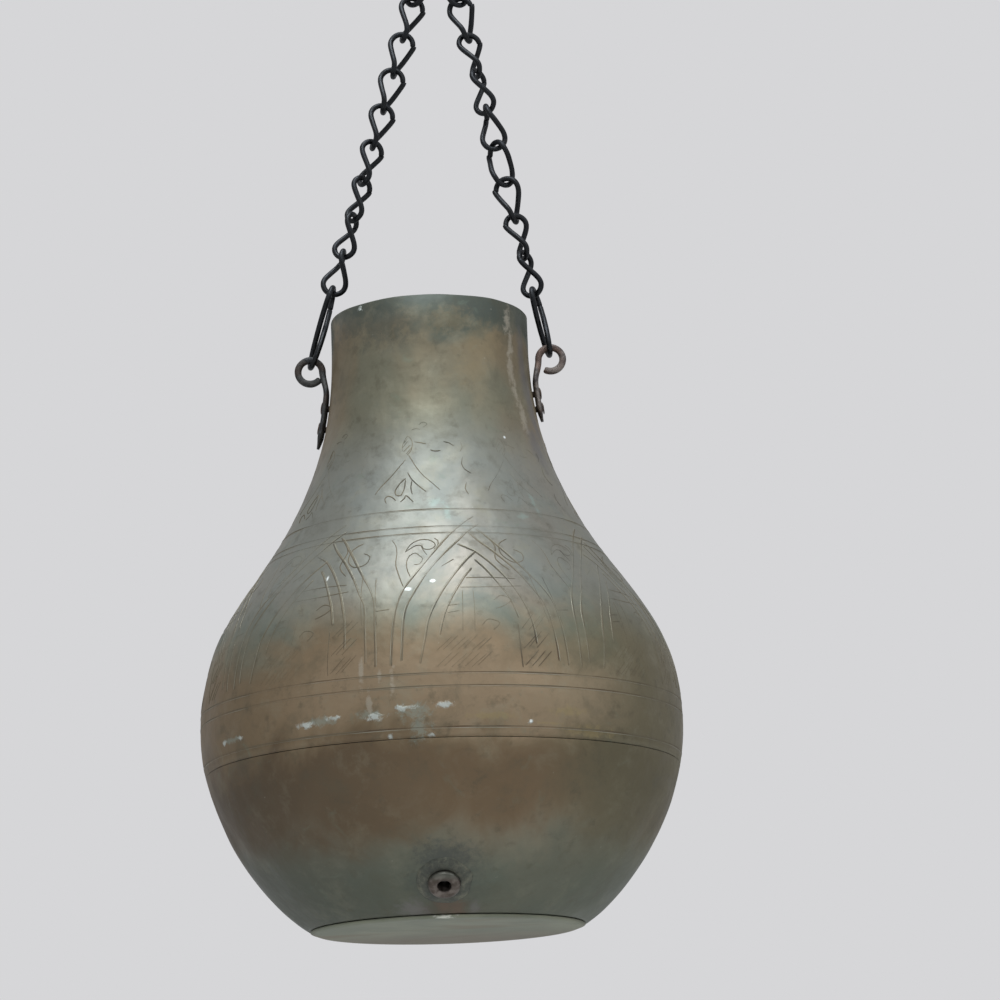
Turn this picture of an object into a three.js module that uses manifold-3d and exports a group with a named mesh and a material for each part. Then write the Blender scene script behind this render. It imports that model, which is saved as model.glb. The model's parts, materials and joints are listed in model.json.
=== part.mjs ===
// A hanging copper pot: a round-bellied vessel with a straight neck and a small spout low at the front.
// Two iron lugs are riveted to the neck, and two chains of twisted wire links carry them from one ring.
// Millimetres, +Z up, front towards -Y. The origin is inside the top of the ring, where a hook bears.
import * as THREE from "three";
import { mergeVertices } from "three/addons/utils/BufferGeometryUtils.js";
import Module from "manifold-3d";

const wasm = await Module();
wasm.setup();

// Clearance between pieces that rest on, turn in or pass through one another
const CLEAR = 0.3;
// How far a hole's cutter runs past the metal it cuts
const CUT_REACH = 5;

// Vessel outline, heights above the underside of the base
const BASE_RADIUS = 66;
const BASE_THICKNESS = 1.5;
const BASE_FLANGE = 9;
const BOWL_FLARE_RADIUS = 84;
const BOWL_FLARE_HEIGHT = 8;
const BELLY_RADIUS = 122;
const BELLY_HEIGHT = 102;
const BELLY_FULLNESS_BELOW = 52;
const BELLY_FULLNESS_ABOVE = 38;
const SHOULDER_RADIUS = 86.3;
const SHOULDER_HEIGHT = 189;
const SHOULDER_SLOPE = 0.676;
const SHOULDER_EASE_BELOW = 32;
const SHOULDER_EASE_ABOVE = 30;
const NECK_RADIUS = 51.3;
const NECK_HEIGHT = 300;
const NECK_EASE = 50;
const RIM_HEIGHT = 316;
const WALL = 1.5;
const SEAM_HEIGHT = 79;
const SEAM_LAP = 6;

// Facets
const VESSEL_SIDES = 48;
const BOWL_RINGS = 8;
const SHOULDER_RINGS = 6;
const NECK_RINGS = 6;
const WIRE_SIDES = 6;
const LINK_STEPS = 22;
const END_LINK_STEPS = 34;
const SMALL_SIDES = 10;
const EYE_SIDES = 8;
const EYE_STEPS = 20;
const STRAP_STEPS = 12;
const STRAP_CORNER_STEPS = 6;
const RING_SIDES = 8;
const RING_STEPS = 32;
const SPOUT_SIDES = 20;

// Spout: a collar and a short nozzle soldered low on the front
const SPOUT_HEIGHT = 15.4;
const SPOUT_COLLAR_RADIUS = 13.5;
const SPOUT_COLLAR_THICKNESS = 1.2;
const SPOUT_LIP_RADIUS = 7.8;
const SPOUT_LIP_HEIGHT = 4.6;
const SPOUT_STEM_RADIUS = 5;
const SPOUT_STEM_REACH = 3;
const SPOUT_BORE_RADIUS = 3.25;
const SPOUT_FLARE = 1.4;

// Lugs: a round rod rolled into an eye and flattened below into a riveted strap
const EYE_RADIUS = 6.3;
const EYE_ROD_RADIUS = 1.75;
const EYE_DEPTH = 24.4;
const EYE_NECK_GAP = 2.75;
const CHAIN_RIM_GAP = 2.2;
const CHAIN_SLOPE = 0.35;
const STRAP_THICKNESS = 3;
const STRAP_WIDTH = 12;
const STRAP_TIP_THICKNESS = 1.4;
const STRAP_TAPER = 7;
const RIVET_RADIUS = 1.6;
const RIVET_HEAD_RADIUS = 3.2;
const RIVET_HEAD_HEIGHT = 1.3;
const RIVET_CROWN_SHARE = 0.6;
const RIVET_SHOULDER_SHARE = 0.85;
const STRAP_SETTLE = 14;
const STRAP_TOP_DROP = 1;
const LEFT_LUG = { side: -1, lift: -1, length: 41, roll: 128, rivets: [20, 31] };
const RIGHT_LUG = { side: 1, lift: 1.6, length: 33, roll: 108, rivets: [18.5, 26.5] };

// Chains: twisted wire links, with a longer plain figure-eight link at each lug
const WIRE_RADIUS = 1.45;
const LINK_SLACK = 0.5;
const LINK_PITCH = 20.6;
const LINK_LOBE_RADIUS = 5.9;
const LINK_WAIST_RADIUS = 4.1;
const LINK_TWIST_REACH = 9;
const LINK_END_GAP = 0.6;
const LINK_CUT_PLACE = 0.16;
const LEFT_END_PITCH = 38.8;
const RIGHT_END_PITCH = 30.9;
const END_LOBE_RADIUS = 6;
const END_WIRE_SHARE = 4.5;
const LEFT_ROLLS = [50, 14, 0, 0, 12, 30, 45, 68, 90];
const RIGHT_ROLLS = [-54, -17, 20, 56, 92, 128, 164, 200, 236];

// Ring that hangs on a hook, and the height of the vessel's weight, which sets how it leans
const RING_RADIUS = 30;
const RING_ROD_RADIUS = 2;
const WEIGHT_HEIGHT = 150;
const HANG_PASSES = 30;

const copper = () => new THREE.MeshStandardMaterial({ color: 0x6f6a58, metalness: 0.75, roughness: 0.5 });
const tinned = () => new THREE.MeshStandardMaterial({ color: 0x86887a, metalness: 0.6, roughness: 0.55 });
const solder = () => new THREE.MeshStandardMaterial({ color: 0x555a54, metalness: 0.5, roughness: 0.6 });
const iron = () => new THREE.MeshStandardMaterial({ color: 0x3c3836, metalness: 0.6, roughness: 0.65 });
const blackWire = () => new THREE.MeshStandardMaterial({ color: 0x1c2023, metalness: 0.5, roughness: 0.45 });

// Solids: a closed geometry becomes a manifold solid for cuts and joins, and comes back as a geometry

function weld(geometry) {
  const bare = geometry.clone();
  bare.deleteAttribute("normal");
  bare.deleteAttribute("uv");
  return mergeVertices(bare, 1e-4);
}

function solid(geometry) {
  const welded = weld(geometry);
  return new wasm.Manifold(new wasm.Mesh({
    numProp: 3,
    vertProperties: new Float32Array(welded.attributes.position.array),
    triVerts: new Uint32Array(welded.index.array),
  }));
}

function geometryOf(manifold) {
  const mesh = manifold.getMesh();
  const geometry = new THREE.BufferGeometry();
  geometry.setAttribute("position", new THREE.BufferAttribute(new Float32Array(mesh.vertProperties), 3));
  geometry.setIndex(new THREE.BufferAttribute(new Uint32Array(mesh.triVerts), 1));
  geometry.computeVertexNormals();
  return geometry;
}

function piece(name, geometry, material) {
  const mesh = new THREE.Mesh(geometry, material);
  mesh.name = name;
  return mesh;
}

// Vessel outline as three curves under a straight rim: x is the radius, y the height

const bowlCurve = new THREE.CubicBezierCurve(
  new THREE.Vector2(BASE_RADIUS, 0),
  new THREE.Vector2(BOWL_FLARE_RADIUS, BOWL_FLARE_HEIGHT),
  new THREE.Vector2(BELLY_RADIUS, BELLY_HEIGHT - BELLY_FULLNESS_BELOW),
  new THREE.Vector2(BELLY_RADIUS, BELLY_HEIGHT),
);
const shoulderCurve = new THREE.CubicBezierCurve(
  new THREE.Vector2(BELLY_RADIUS, BELLY_HEIGHT),
  new THREE.Vector2(BELLY_RADIUS, BELLY_HEIGHT + BELLY_FULLNESS_ABOVE),
  new THREE.Vector2(
    SHOULDER_RADIUS + SHOULDER_SLOPE * SHOULDER_EASE_BELOW,
    SHOULDER_HEIGHT - SHOULDER_EASE_BELOW,
  ),
  new THREE.Vector2(SHOULDER_RADIUS, SHOULDER_HEIGHT),
);
const neckCurve = new THREE.CubicBezierCurve(
  new THREE.Vector2(SHOULDER_RADIUS, SHOULDER_HEIGHT),
  new THREE.Vector2(
    SHOULDER_RADIUS - SHOULDER_SLOPE * SHOULDER_EASE_ABOVE,
    SHOULDER_HEIGHT + SHOULDER_EASE_ABOVE,
  ),
  new THREE.Vector2(NECK_RADIUS, NECK_HEIGHT - NECK_EASE),
  new THREE.Vector2(NECK_RADIUS, NECK_HEIGHT),
);

// The outline as one run of points, up from the foot; everything that sits on the vessel is placed by it
const OUTLINE = [
  ...bowlCurve.getPoints(BOWL_RINGS),
  ...shoulderCurve.getPoints(SHOULDER_RINGS).slice(1),
  ...neckCurve.getPoints(NECK_RINGS).slice(1),
  new THREE.Vector2(NECK_RADIUS, RIM_HEIGHT),
];

function facetAt(height) {
  const above = OUTLINE.findIndex((corner) => corner.y >= height);
  return Math.max(1, above < 0 ? OUTLINE.length - 1 : above);
}

function radiusAt(height) {
  const [low, high] = [OUTLINE[facetAt(height) - 1], OUTLINE[facetAt(height)]];
  return THREE.MathUtils.lerp(low.x, high.x, (height - low.y) / (high.y - low.y));
}

// How far the surface leans outwards with height, as an angle from the vertical
function leanAt(height) {
  const rise = OUTLINE[facetAt(height)].clone().sub(OUTLINE[facetAt(height) - 1]);
  return Math.atan2(rise.x, rise.y);
}

// Surface of the vessel between two heights, moved in along its normals by a depth
function stretch(from, to, depth = 0) {
  const between = OUTLINE.filter((corner) => corner.y > from && corner.y < to);
  const run = [point(radiusAt(from), from), ...between, point(radiusAt(to), to)];
  return run.map((corner, index) => {
    const before = leanAt(index > 0 ? corner.y : corner.y + CLEAR / 10);
    const after = leanAt(index < run.length - 1 ? corner.y + CLEAR / 10 : corner.y);
    const lean = (before + after) / 2;
    const mitre = depth / Math.cos((before - after) / 2);
    return point(corner.x - mitre * Math.cos(lean), corner.y + mitre * Math.sin(lean));
  });
}

function point(x, y) {
  return new THREE.Vector2(x, y);
}

// A profile (radius, height) turned about Z: it starts and ends on the axis, or is closed on itself
function turned(profile, sides) {
  const closes = profile[0].x === 0;
  const outline = closes ? profile : [...profile, profile[0].clone()];
  const geometry = new THREE.LatheGeometry(outline, sides);
  geometry.rotateX(Math.PI / 2);
  return geometry;
}

function rod(radius, from, to, sides) {
  return turned([point(0, from), point(radius, from), point(radius, to), point(0, to)], sides);
}

// Where a rivet or the spout stands on the vessel: out along the surface's normal, turned to a side
function onSurface(geometry, height, turn) {
  geometry.rotateY(Math.PI / 2 + leanAt(height));
  geometry.translate(radiusAt(height), 0, height);
  geometry.rotateZ(turn);
  return geometry;
}

const FRONT = -Math.PI / 2;

function sideTurn(lug) {
  return lug.side > 0 ? 0 : Math.PI;
}

// Upper body: neck, shoulder and the top of the belly in one raised shell

function upperBody() {
  const bottom = SEAM_HEIGHT + CLEAR;
  const outer = stretch(bottom, RIM_HEIGHT);
  const inner = stretch(bottom, RIM_HEIGHT, WALL).reverse();
  let shell = solid(turned([...outer, ...inner], VESSEL_SIDES));
  for (const lug of [LEFT_LUG, RIGHT_LUG]) {
    for (const drop of lug.rivets) {
      shell = shell.subtract(solid(rivetBore(lug, drop)));
    }
  }
  return geometryOf(shell);
}

// Lower bowl: flanged in at the base and stepped in at the seam, where the upper body laps over it

function lowerBowl() {
  const bottom = BASE_THICKNESS + CLEAR;
  const step = WALL + CLEAR;
  const outer = stretch(bottom, SEAM_HEIGHT);
  const lap = stretch(SEAM_HEIGHT, SEAM_HEIGHT + SEAM_LAP, step);
  const lapInside = stretch(SEAM_HEIGHT - WALL, SEAM_HEIGHT + SEAM_LAP, step + WALL).reverse();
  const inner = stretch(bottom + WALL, SEAM_HEIGHT - step - WALL, WALL).reverse();
  const flangeEdge = BASE_RADIUS - BASE_FLANGE;
  const flange = [point(flangeEdge, bottom + WALL), point(flangeEdge, bottom)];
  const bowl = solid(turned([...outer, ...lap, ...lapInside, ...inner, ...flange], VESSEL_SIDES));
  const stemHole = rod(SPOUT_STEM_RADIUS + CLEAR, -CUT_REACH, CUT_REACH, SPOUT_SIDES);
  return geometryOf(bowl.subtract(solid(onSurface(stemHole, SPOUT_HEIGHT, FRONT))));
}

function baseDisc() {
  const edge = radiusAt(BASE_THICKNESS);
  return turned([
    point(0, 0), point(BASE_RADIUS, 0), point(edge, BASE_THICKNESS), point(0, BASE_THICKNESS),
  ], VESSEL_SIDES);
}

// Spout: the collar's back is cut to the bowl's curve, and the nozzle passes through both

function spoutCollar() {
  const back = -3 * SPOUT_COLLAR_THICKNESS;
  const front = SPOUT_COLLAR_THICKNESS + CLEAR;
  const hole = SPOUT_STEM_RADIUS + CLEAR;
  const rim = SPOUT_COLLAR_THICKNESS / 2;
  const ring = turned([
    point(hole, back), point(SPOUT_COLLAR_RADIUS, back), point(SPOUT_COLLAR_RADIUS, front - rim),
    point(SPOUT_COLLAR_RADIUS - rim, front), point(hole, front),
  ], SPOUT_SIDES);
  const grown = stretch(0, SHOULDER_HEIGHT, -CLEAR);
  const body = [point(0, grown[0].y), ...grown, point(0, grown[grown.length - 1].y)];
  const vessel = solid(turned(body, VESSEL_SIDES));
  return geometryOf(solid(onSurface(ring, SPOUT_HEIGHT, FRONT)).subtract(vessel));
}

function spoutNozzle() {
  const seat = SPOUT_COLLAR_THICKNESS + 2 * CLEAR;
  const top = seat + SPOUT_LIP_HEIGHT;
  const edge = (SPOUT_LIP_RADIUS + SPOUT_BORE_RADIUS + SPOUT_FLARE) / 2;
  const nozzle = turned([
    point(SPOUT_BORE_RADIUS, -WALL - SPOUT_STEM_REACH),
    point(SPOUT_STEM_RADIUS, -WALL - SPOUT_STEM_REACH),
    point(SPOUT_STEM_RADIUS, seat),
    point(SPOUT_LIP_RADIUS - SPOUT_FLARE / 2, seat),
    point(SPOUT_LIP_RADIUS, seat + SPOUT_LIP_HEIGHT / 2),
    point(SPOUT_LIP_RADIUS - SPOUT_FLARE / 2, top - SPOUT_FLARE / 3),
    point(edge, top),
    point(SPOUT_BORE_RADIUS + SPOUT_FLARE / 2, top - SPOUT_FLARE / 3),
    point(SPOUT_BORE_RADIUS, top - 2 * SPOUT_FLARE),
  ], SPOUT_SIDES);
  return onSurface(nozzle, SPOUT_HEIGHT, FRONT);
}

// Lugs. Local x points away from the vessel's axis, and drop is the distance below the eye's centre

function eyeHeight(lug) {
  return RIM_HEIGHT - EYE_DEPTH + lug.lift;
}

// An eye stands clear of the neck, and far enough out for the chain to lean in past the rim
function eyeRadiusFromAxis(lug) {
  const pastNeck = EYE_RADIUS + EYE_ROD_RADIUS + EYE_NECK_GAP;
  const pastRim = CHAIN_RIM_GAP + CHAIN_SLOPE * EYE_DEPTH;
  return radiusAt(eyeHeight(lug)) + Math.max(pastNeck, pastRim);
}

// Middle of the strap's thickness at a drop: it leaves the eye and settles onto the neck
function strapMiddle(lug, drop) {
  const height = eyeHeight(lug) - drop;
  const resting = (CLEAR + STRAP_THICKNESS / 2) / Math.cos(leanAt(height));
  const settle = THREE.MathUtils.smoothstep(drop, 0, STRAP_SETTLE);
  return THREE.MathUtils.lerp(eyeRadiusFromAxis(lug) - EYE_RADIUS, radiusAt(height) + resting, settle);
}

function strapThickness(lug, drop) {
  const taper = THREE.MathUtils.smoothstep(drop, lug.length - STRAP_TAPER, lug.length);
  return THREE.MathUtils.lerp(STRAP_THICKNESS, STRAP_TIP_THICKNESS, taper);
}

// The rolled eye: an arc that ends in the leg on which the strap is forged
class EyePath extends THREE.Curve {
  constructor(lug) {
    super();
    this.lug = lug;
    this.arc = THREE.MathUtils.degToRad(180 + lug.roll);
    this.leg = EYE_RADIUS;
  }

  getPoint(place, target = new THREE.Vector3()) {
    const total = this.arc * EYE_RADIUS + this.leg;
    const done = place * total;
    const centre = eyeRadiusFromAxis(this.lug);
    const turnedSoFar = Math.min(done / EYE_RADIUS, this.arc);
    const angle = turnedSoFar - THREE.MathUtils.degToRad(this.lug.roll);
    const drop = Math.max(0, done - this.arc * EYE_RADIUS);
    const x = drop > 0 ? strapMiddle(this.lug, drop) : centre + EYE_RADIUS * Math.cos(angle);
    const z = drop > 0 ? -drop : EYE_RADIUS * Math.sin(angle);
    return target.set(x, 0, eyeHeight(this.lug) + z);
  }
}

function roundSection(radius, sides) {
  const shape = new THREE.Shape();
  for (let side = 0; side < sides; side += 1) {
    const angle = ((side + 0.5) * 2 * Math.PI) / sides;
    const corner = point(radius * Math.cos(angle), radius * Math.sin(angle));
    if (side === 0) shape.moveTo(corner.x, corner.y);
    else shape.lineTo(corner.x, corner.y);
  }
  shape.closePath();
  return shape;
}

function along(path, radius, sides, steps) {
  const sweep = { extrudePath: path, steps, bevelEnabled: false };
  return new THREE.ExtrudeGeometry(roundSection(radius, sides), sweep);
}

// The strap seen from the side, with its thickness, and seen from outside, with its width
function strapPlate(lug) {
  const outside = [];
  const inside = [];
  for (let step = 0; step <= STRAP_STEPS; step += 1) {
    const drop = THREE.MathUtils.lerp(STRAP_TOP_DROP, lug.length, step / STRAP_STEPS);
    const half = strapThickness(lug, drop) / 2;
    const inner = strapMiddle(lug, drop) - STRAP_THICKNESS / 2;
    outside.push(point(inner + 2 * half, eyeHeight(lug) - drop));
    inside.push(point(inner, eyeHeight(lug) - drop));
  }
  const profile = new THREE.Shape([...outside, ...inside.reverse()]);
  const thick = new THREE.ExtrudeGeometry(profile, { depth: STRAP_WIDTH, bevelEnabled: false });
  thick.translate(0, 0, -STRAP_WIDTH / 2);
  thick.rotateX(Math.PI / 2);

  const top = eyeHeight(lug) - STRAP_TOP_DROP;
  const bottom = eyeHeight(lug) - lug.length;
  const half = STRAP_WIDTH / 2;
  const face = new THREE.Shape();
  face.moveTo(-EYE_ROD_RADIUS, top);
  face.bezierCurveTo(-EYE_ROD_RADIUS, top - half, -half, top - half, -half, top - 2 * half);
  face.lineTo(-half, bottom + half);
  face.absarc(0, bottom + half, half, Math.PI, 2 * Math.PI, false);
  face.lineTo(half, top - 2 * half);
  face.bezierCurveTo(half, top - half, EYE_ROD_RADIUS, top - half, EYE_ROD_RADIUS, top);
  const reach = eyeRadiusFromAxis(lug) + EYE_RADIUS;
  const cut = { depth: reach, bevelEnabled: false, curveSegments: STRAP_CORNER_STEPS };
  const wide = new THREE.ExtrudeGeometry(face, cut);
  wide.rotateX(Math.PI / 2);
  wide.rotateZ(Math.PI / 2);
  return solid(thick).intersect(solid(wide));
}

// Distances along a rivet's line, out from the neck's surface
function rivetReach(lug, drop) {
  const height = eyeHeight(lug) - drop;
  const middle = (strapMiddle(lug, drop) - radiusAt(height)) * Math.cos(leanAt(height));
  return middle + STRAP_THICKNESS / 2;
}

function rivetBore(lug, drop) {
  const bore = rod(RIVET_RADIUS + CLEAR, -CUT_REACH, rivetReach(lug, drop) + CUT_REACH, SMALL_SIDES);
  return onSurface(bore, eyeHeight(lug) - drop, sideTurn(lug));
}

function rivet(lug, drop) {
  const outside = rivetReach(lug, drop) + CLEAR;
  const inside = -WALL - 2 * CLEAR;
  const crown = RIVET_HEAD_RADIUS * RIVET_CROWN_SHARE;
  const shoulder = RIVET_HEAD_HEIGHT * RIVET_SHOULDER_SHARE;
  const profile = [
    point(0, inside - RIVET_HEAD_HEIGHT),
    point(crown, inside - shoulder),
    point(RIVET_HEAD_RADIUS, inside),
    point(RIVET_RADIUS, inside),
    point(RIVET_RADIUS, outside),
    point(RIVET_HEAD_RADIUS, outside),
    point(crown, outside + shoulder),
    point(0, outside + RIVET_HEAD_HEIGHT),
  ];
  return onSurface(turned(profile, SMALL_SIDES), eyeHeight(lug) - drop, sideTurn(lug));
}

function lugBody(lug) {
  const eye = solid(along(new EyePath(lug), EYE_ROD_RADIUS, EYE_SIDES, EYE_STEPS));
  const turn = new THREE.Matrix4().makeRotationZ(sideTurn(lug));
  let body = eye.add(strapPlate(lug)).transform(turn.elements);
  for (const drop of lug.rivets) body = body.subtract(solid(rivetBore(lug, drop)));
  return geometryOf(body);
}

// Chain links

// Half of a link's centreline, end to end: neighbours rest wire on wire
const LINK_REST = WIRE_RADIUS + LINK_SLACK / 2;
const LINK_HALF = LINK_PITCH / 2 + LINK_REST;

// Angle around a link at a place along its wire, which starts and ends beside the cut
function turnAlong(place, cut) {
  return 2 * Math.PI * (LINK_CUT_PLACE + THREE.MathUtils.lerp(cut, 1 - cut, place));
}

// A ring of wire drawn long, pinched at its waist and twisted a quarter turn, with its cut ends left open
class TwistedLinkPath extends THREE.Curve {
  constructor() {
    super();
    const loop = 2 * Math.PI * LINK_LOBE_RADIUS + 4 * (LINK_HALF - LINK_LOBE_RADIUS);
    this.cut = LINK_END_GAP / (2 * loop);
  }

  getPoint(place, target = new THREE.Vector3()) {
    const turn = turnAlong(place, this.cut);
    const height = LINK_HALF * Math.cos(turn);
    const shoulder = LINK_HALF - LINK_LOBE_RADIUS;
    const above = Math.abs(height) - shoulder;
    const narrowing = (1 - Math.cos(Math.PI * Math.min(1, Math.abs(height) / shoulder))) / 2;
    const side = above > 0
      ? Math.sqrt(Math.max(0, LINK_LOBE_RADIUS ** 2 - above ** 2))
      : THREE.MathUtils.lerp(LINK_WAIST_RADIUS, LINK_LOBE_RADIUS, narrowing);
    const reach = side * Math.sign(Math.sin(turn));
    const share = THREE.MathUtils.clamp(height / LINK_TWIST_REACH, -1, 1);
    const twist = (Math.PI / 4) * (1 - Math.sin((Math.PI / 2) * share));
    return target.set(reach * Math.cos(twist), reach * Math.sin(twist), height);
  }
}

// A long flat figure-eight of wire, whose strands pass beside each other at the middle
class FigureEightPath extends THREE.Curve {
  constructor(half) {
    super();
    this.half = half;
    this.pass = WIRE_RADIUS + CLEAR / 2;
    this.cut = LINK_END_GAP / (2 * END_WIRE_SHARE * half);
  }

  getPoint(place, target = new THREE.Vector3()) {
    const turn = turnAlong(place, this.cut);
    return target.set(
      this.pass * Math.sin(turn),
      END_LOBE_RADIUS * Math.sin(2 * turn),
      this.half * Math.cos(turn),
    );
  }
}

// How the vessel hangs: the ring's centre and both lug eyes form a triangle with the chains as sides

const RING_CENTRE = point(0, RING_ROD_RADIUS - RING_RADIUS);
const RING_REACH = RING_RADIUS - RING_ROD_RADIUS - LINK_SLACK / 2;
const EYE_REST = EYE_ROD_RADIUS + WIRE_RADIUS + LINK_SLACK;

function chainLength(links, endPitch) {
  return RING_REACH + links * LINK_PITCH + endPitch;
}

// Triangle in the vessel's own frame, then leant so that the weight lies under the ring's centre
function hang() {
  const left = chainLength(LEFT_ROLLS.length, LEFT_END_PITCH);
  const right = chainLength(RIGHT_ROLLS.length, RIGHT_END_PITCH);
  const eyes = [LEFT_LUG, RIGHT_LUG].map((lug) => point(lug.side * eyeRadiusFromAxis(lug), eyeHeight(lug)));
  let bars = eyes.map((eye) => point(eye.x, eye.y + EYE_RADIUS));
  let apex = point(0, 0);
  for (let pass = 0; pass < HANG_PASSES; pass += 1) {
    const span = bars[0].distanceTo(bars[1]);
    const across = (span ** 2 + left ** 2 - right ** 2) / (2 * span);
    const rise = Math.sqrt(left ** 2 - across ** 2);
    const unit = bars[1].clone().sub(bars[0]).divideScalar(span);
    apex = bars[0].clone().addScaledVector(unit, across).addScaledVector(point(-unit.y, unit.x), rise);
    bars = eyes.map((eye) => {
      const pull = apex.clone().sub(eye).normalize();
      return eye.clone().addScaledVector(pull, EYE_RADIUS);
    });
  }
  const lean = Math.atan2(apex.x, apex.y - WEIGHT_HEIGHT);
  return { apex, bars, lean };
}

const HANG = hang();

// A point of the vessel's frame, seen in the frame of the whole hanging object
function hung(spot) {
  const from = spot.clone().sub(HANG.apex);
  return from.rotateAround(point(0, 0), HANG.lean).add(RING_CENTRE);
}

function vessel() {
  const group = new THREE.Group();
  const foot = hung(point(0, 0));
  group.position.set(foot.x, 0, foot.y);
  group.rotation.y = -HANG.lean;
  group.add(
    piece("upper_body", upperBody(), copper()),
    piece("lower_bowl", lowerBowl(), copper()),
    piece("base_disc", baseDisc(), tinned()),
    piece("spout_collar", spoutCollar(), solder()),
    piece("spout_nozzle", spoutNozzle(), copper()),
  );
  for (const [side, lug] of [["left", LEFT_LUG], ["right", RIGHT_LUG]]) {
    group.add(
      piece(`${side}_lug`, lugBody(lug), iron()),
      piece(`${side}_lug_rivet_upper`, rivet(lug, lug.rivets[0]), copper()),
      piece(`${side}_lug_rivet_lower`, rivet(lug, lug.rivets[1]), copper()),
    );
  }
  return group;
}

function hangingRing() {
  const geometry = new THREE.TorusGeometry(RING_RADIUS, RING_ROD_RADIUS, RING_SIDES, RING_STEPS);
  geometry.rotateX(Math.PI / 2);
  const ring = piece("hanging_ring", geometry, blackWire());
  ring.position.set(RING_CENTRE.x, 0, RING_CENTRE.y);
  return ring;
}

// Chain from the ring's centre towards a lug's bar, with each link turned by its roll
function chain(side, bar, rolls, endPitch) {
  const group = new THREE.Group();
  const end = hung(bar);
  const down = end.clone().sub(RING_CENTRE).normalize();
  group.position.set(RING_CENTRE.x, 0, RING_CENTRE.y);
  group.rotation.y = Math.atan2(-down.x, -down.y);
  rolls.forEach((roll, index) => {
    const wire = along(new TwistedLinkPath(), WIRE_RADIUS, WIRE_SIDES, LINK_STEPS);
    const link = piece(`${side}_link_${index + 1}`, wire, blackWire());
    link.position.z = -(RING_REACH + (index + 0.5) * LINK_PITCH);
    link.rotation.z = THREE.MathUtils.degToRad(roll);
    group.add(link);
  });
  const half = (endPitch + LINK_REST + EYE_REST) / 2;
  const wire = along(new FigureEightPath(half), WIRE_RADIUS, WIRE_SIDES, END_LINK_STEPS);
  const last = piece(`${side}_end_link`, wire, blackWire());
  last.position.z = LINK_REST - RING_REACH - rolls.length * LINK_PITCH - half;
  group.add(last);
  return group;
}

const hangingPot = new THREE.Group();
hangingPot.add(
  hangingRing(),
  chain("left", HANG.bars[0], LEFT_ROLLS, LEFT_END_PITCH),
  chain("right", HANG.bars[1], RIGHT_ROLLS, RIGHT_END_PITCH),
  vessel(),
);

export default hangingPot;
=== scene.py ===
"""Looks for a hanging copper pot: an engraved vessel, its iron lugs and its chains of twisted wire.

Lengths are millimetres. The pot's pieces are made upright on its own foot, with the front at -Y,
and are then leant and hung where the frame's pot hangs. A vector added inside a noise call only
picks another part of the pattern.
"""

import json
from functools import cached_property
from math import atan2, copysign, cos, exp, hypot, pi, radians, sin, sqrt

import bmesh
import bpy
from mathutils import Matrix, Vector, noise
from mathutils.geometry import interpolate_bezier


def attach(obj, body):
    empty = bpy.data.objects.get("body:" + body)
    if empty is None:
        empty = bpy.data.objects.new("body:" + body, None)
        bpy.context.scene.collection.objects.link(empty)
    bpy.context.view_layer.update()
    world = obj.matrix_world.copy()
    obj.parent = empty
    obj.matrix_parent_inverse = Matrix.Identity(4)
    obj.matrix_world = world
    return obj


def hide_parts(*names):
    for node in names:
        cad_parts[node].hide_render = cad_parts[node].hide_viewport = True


# without a seed, noise_vector has another pattern in each run
noise.seed_set(1)

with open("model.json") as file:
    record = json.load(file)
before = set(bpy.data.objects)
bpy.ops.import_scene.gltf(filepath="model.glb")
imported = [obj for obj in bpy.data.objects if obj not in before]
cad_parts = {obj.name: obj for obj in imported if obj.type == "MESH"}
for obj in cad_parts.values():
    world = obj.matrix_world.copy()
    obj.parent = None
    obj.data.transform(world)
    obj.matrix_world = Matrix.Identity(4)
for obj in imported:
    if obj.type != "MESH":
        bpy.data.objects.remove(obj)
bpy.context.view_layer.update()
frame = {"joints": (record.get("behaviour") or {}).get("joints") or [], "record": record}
scene = bpy.context.scene

MM = 0.001

# Vessel outline, heights above the underside of the base
BASE_RADIUS = 66
BASE_THICKNESS = 1.5
BASE_FLANGE = 9
BOWL_FLARE_RADIUS = 84
BOWL_FLARE_HEIGHT = 8
BELLY_RADIUS = 122
BELLY_HEIGHT = 102
BELLY_FULLNESS_BELOW = 52
BELLY_FULLNESS_ABOVE = 38
SHOULDER_RADIUS = 86.3
SHOULDER_HEIGHT = 189
SHOULDER_SLOPE = 0.676
SHOULDER_EASE_BELOW = 32
SHOULDER_EASE_ABOVE = 30
NECK_RADIUS = 51.3
NECK_HEIGHT = 300
NECK_EASE = 50
RIM_HEIGHT = 316
WALL = 1.5
SEAM_HEIGHT = 79
SEAM_LAP = 6
CLEAR = 0.3

# Spout
SPOUT_HEIGHT = 15.4
SPOUT_COLLAR_RADIUS = 13.5
SPOUT_COLLAR_THICKNESS = 1.2
SPOUT_LIP_RADIUS = 7.8
SPOUT_LIP_HEIGHT = 4.6
SPOUT_STEM_RADIUS = 5
SPOUT_BORE_RADIUS = 3.25
SPOUT_FUNNEL = 0.6

# Lugs
EYE_RADIUS = 6.3
EYE_ROD_RADIUS = 1.75
EYE_OFFSET = 10.8
STRAP_THICKNESS = 3
STRAP_WIDTH = 12
STRAP_TIP_THICKNESS = 1.4
STRAP_TAPER = 7
STRAP_SETTLE = 14
RIVET_RADIUS = 1.6
RIVET_HEAD_RADIUS = 3.2
RIVET_HEAD_HEIGHT = 1.3
HEAD_BEATEN = 0.55
EYE_CLOSING = 14
LEFT_LUG = {"name": "left_lug", "side": -1, "eye_height": 290.6, "length": 41, "roll": 128,
            "rivets": (20, 31)}
RIGHT_LUG = {"name": "right_lug", "side": 1, "eye_height": 293.2, "length": 33, "roll": 108,
             "rivets": (18.5, 26.5)}

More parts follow.
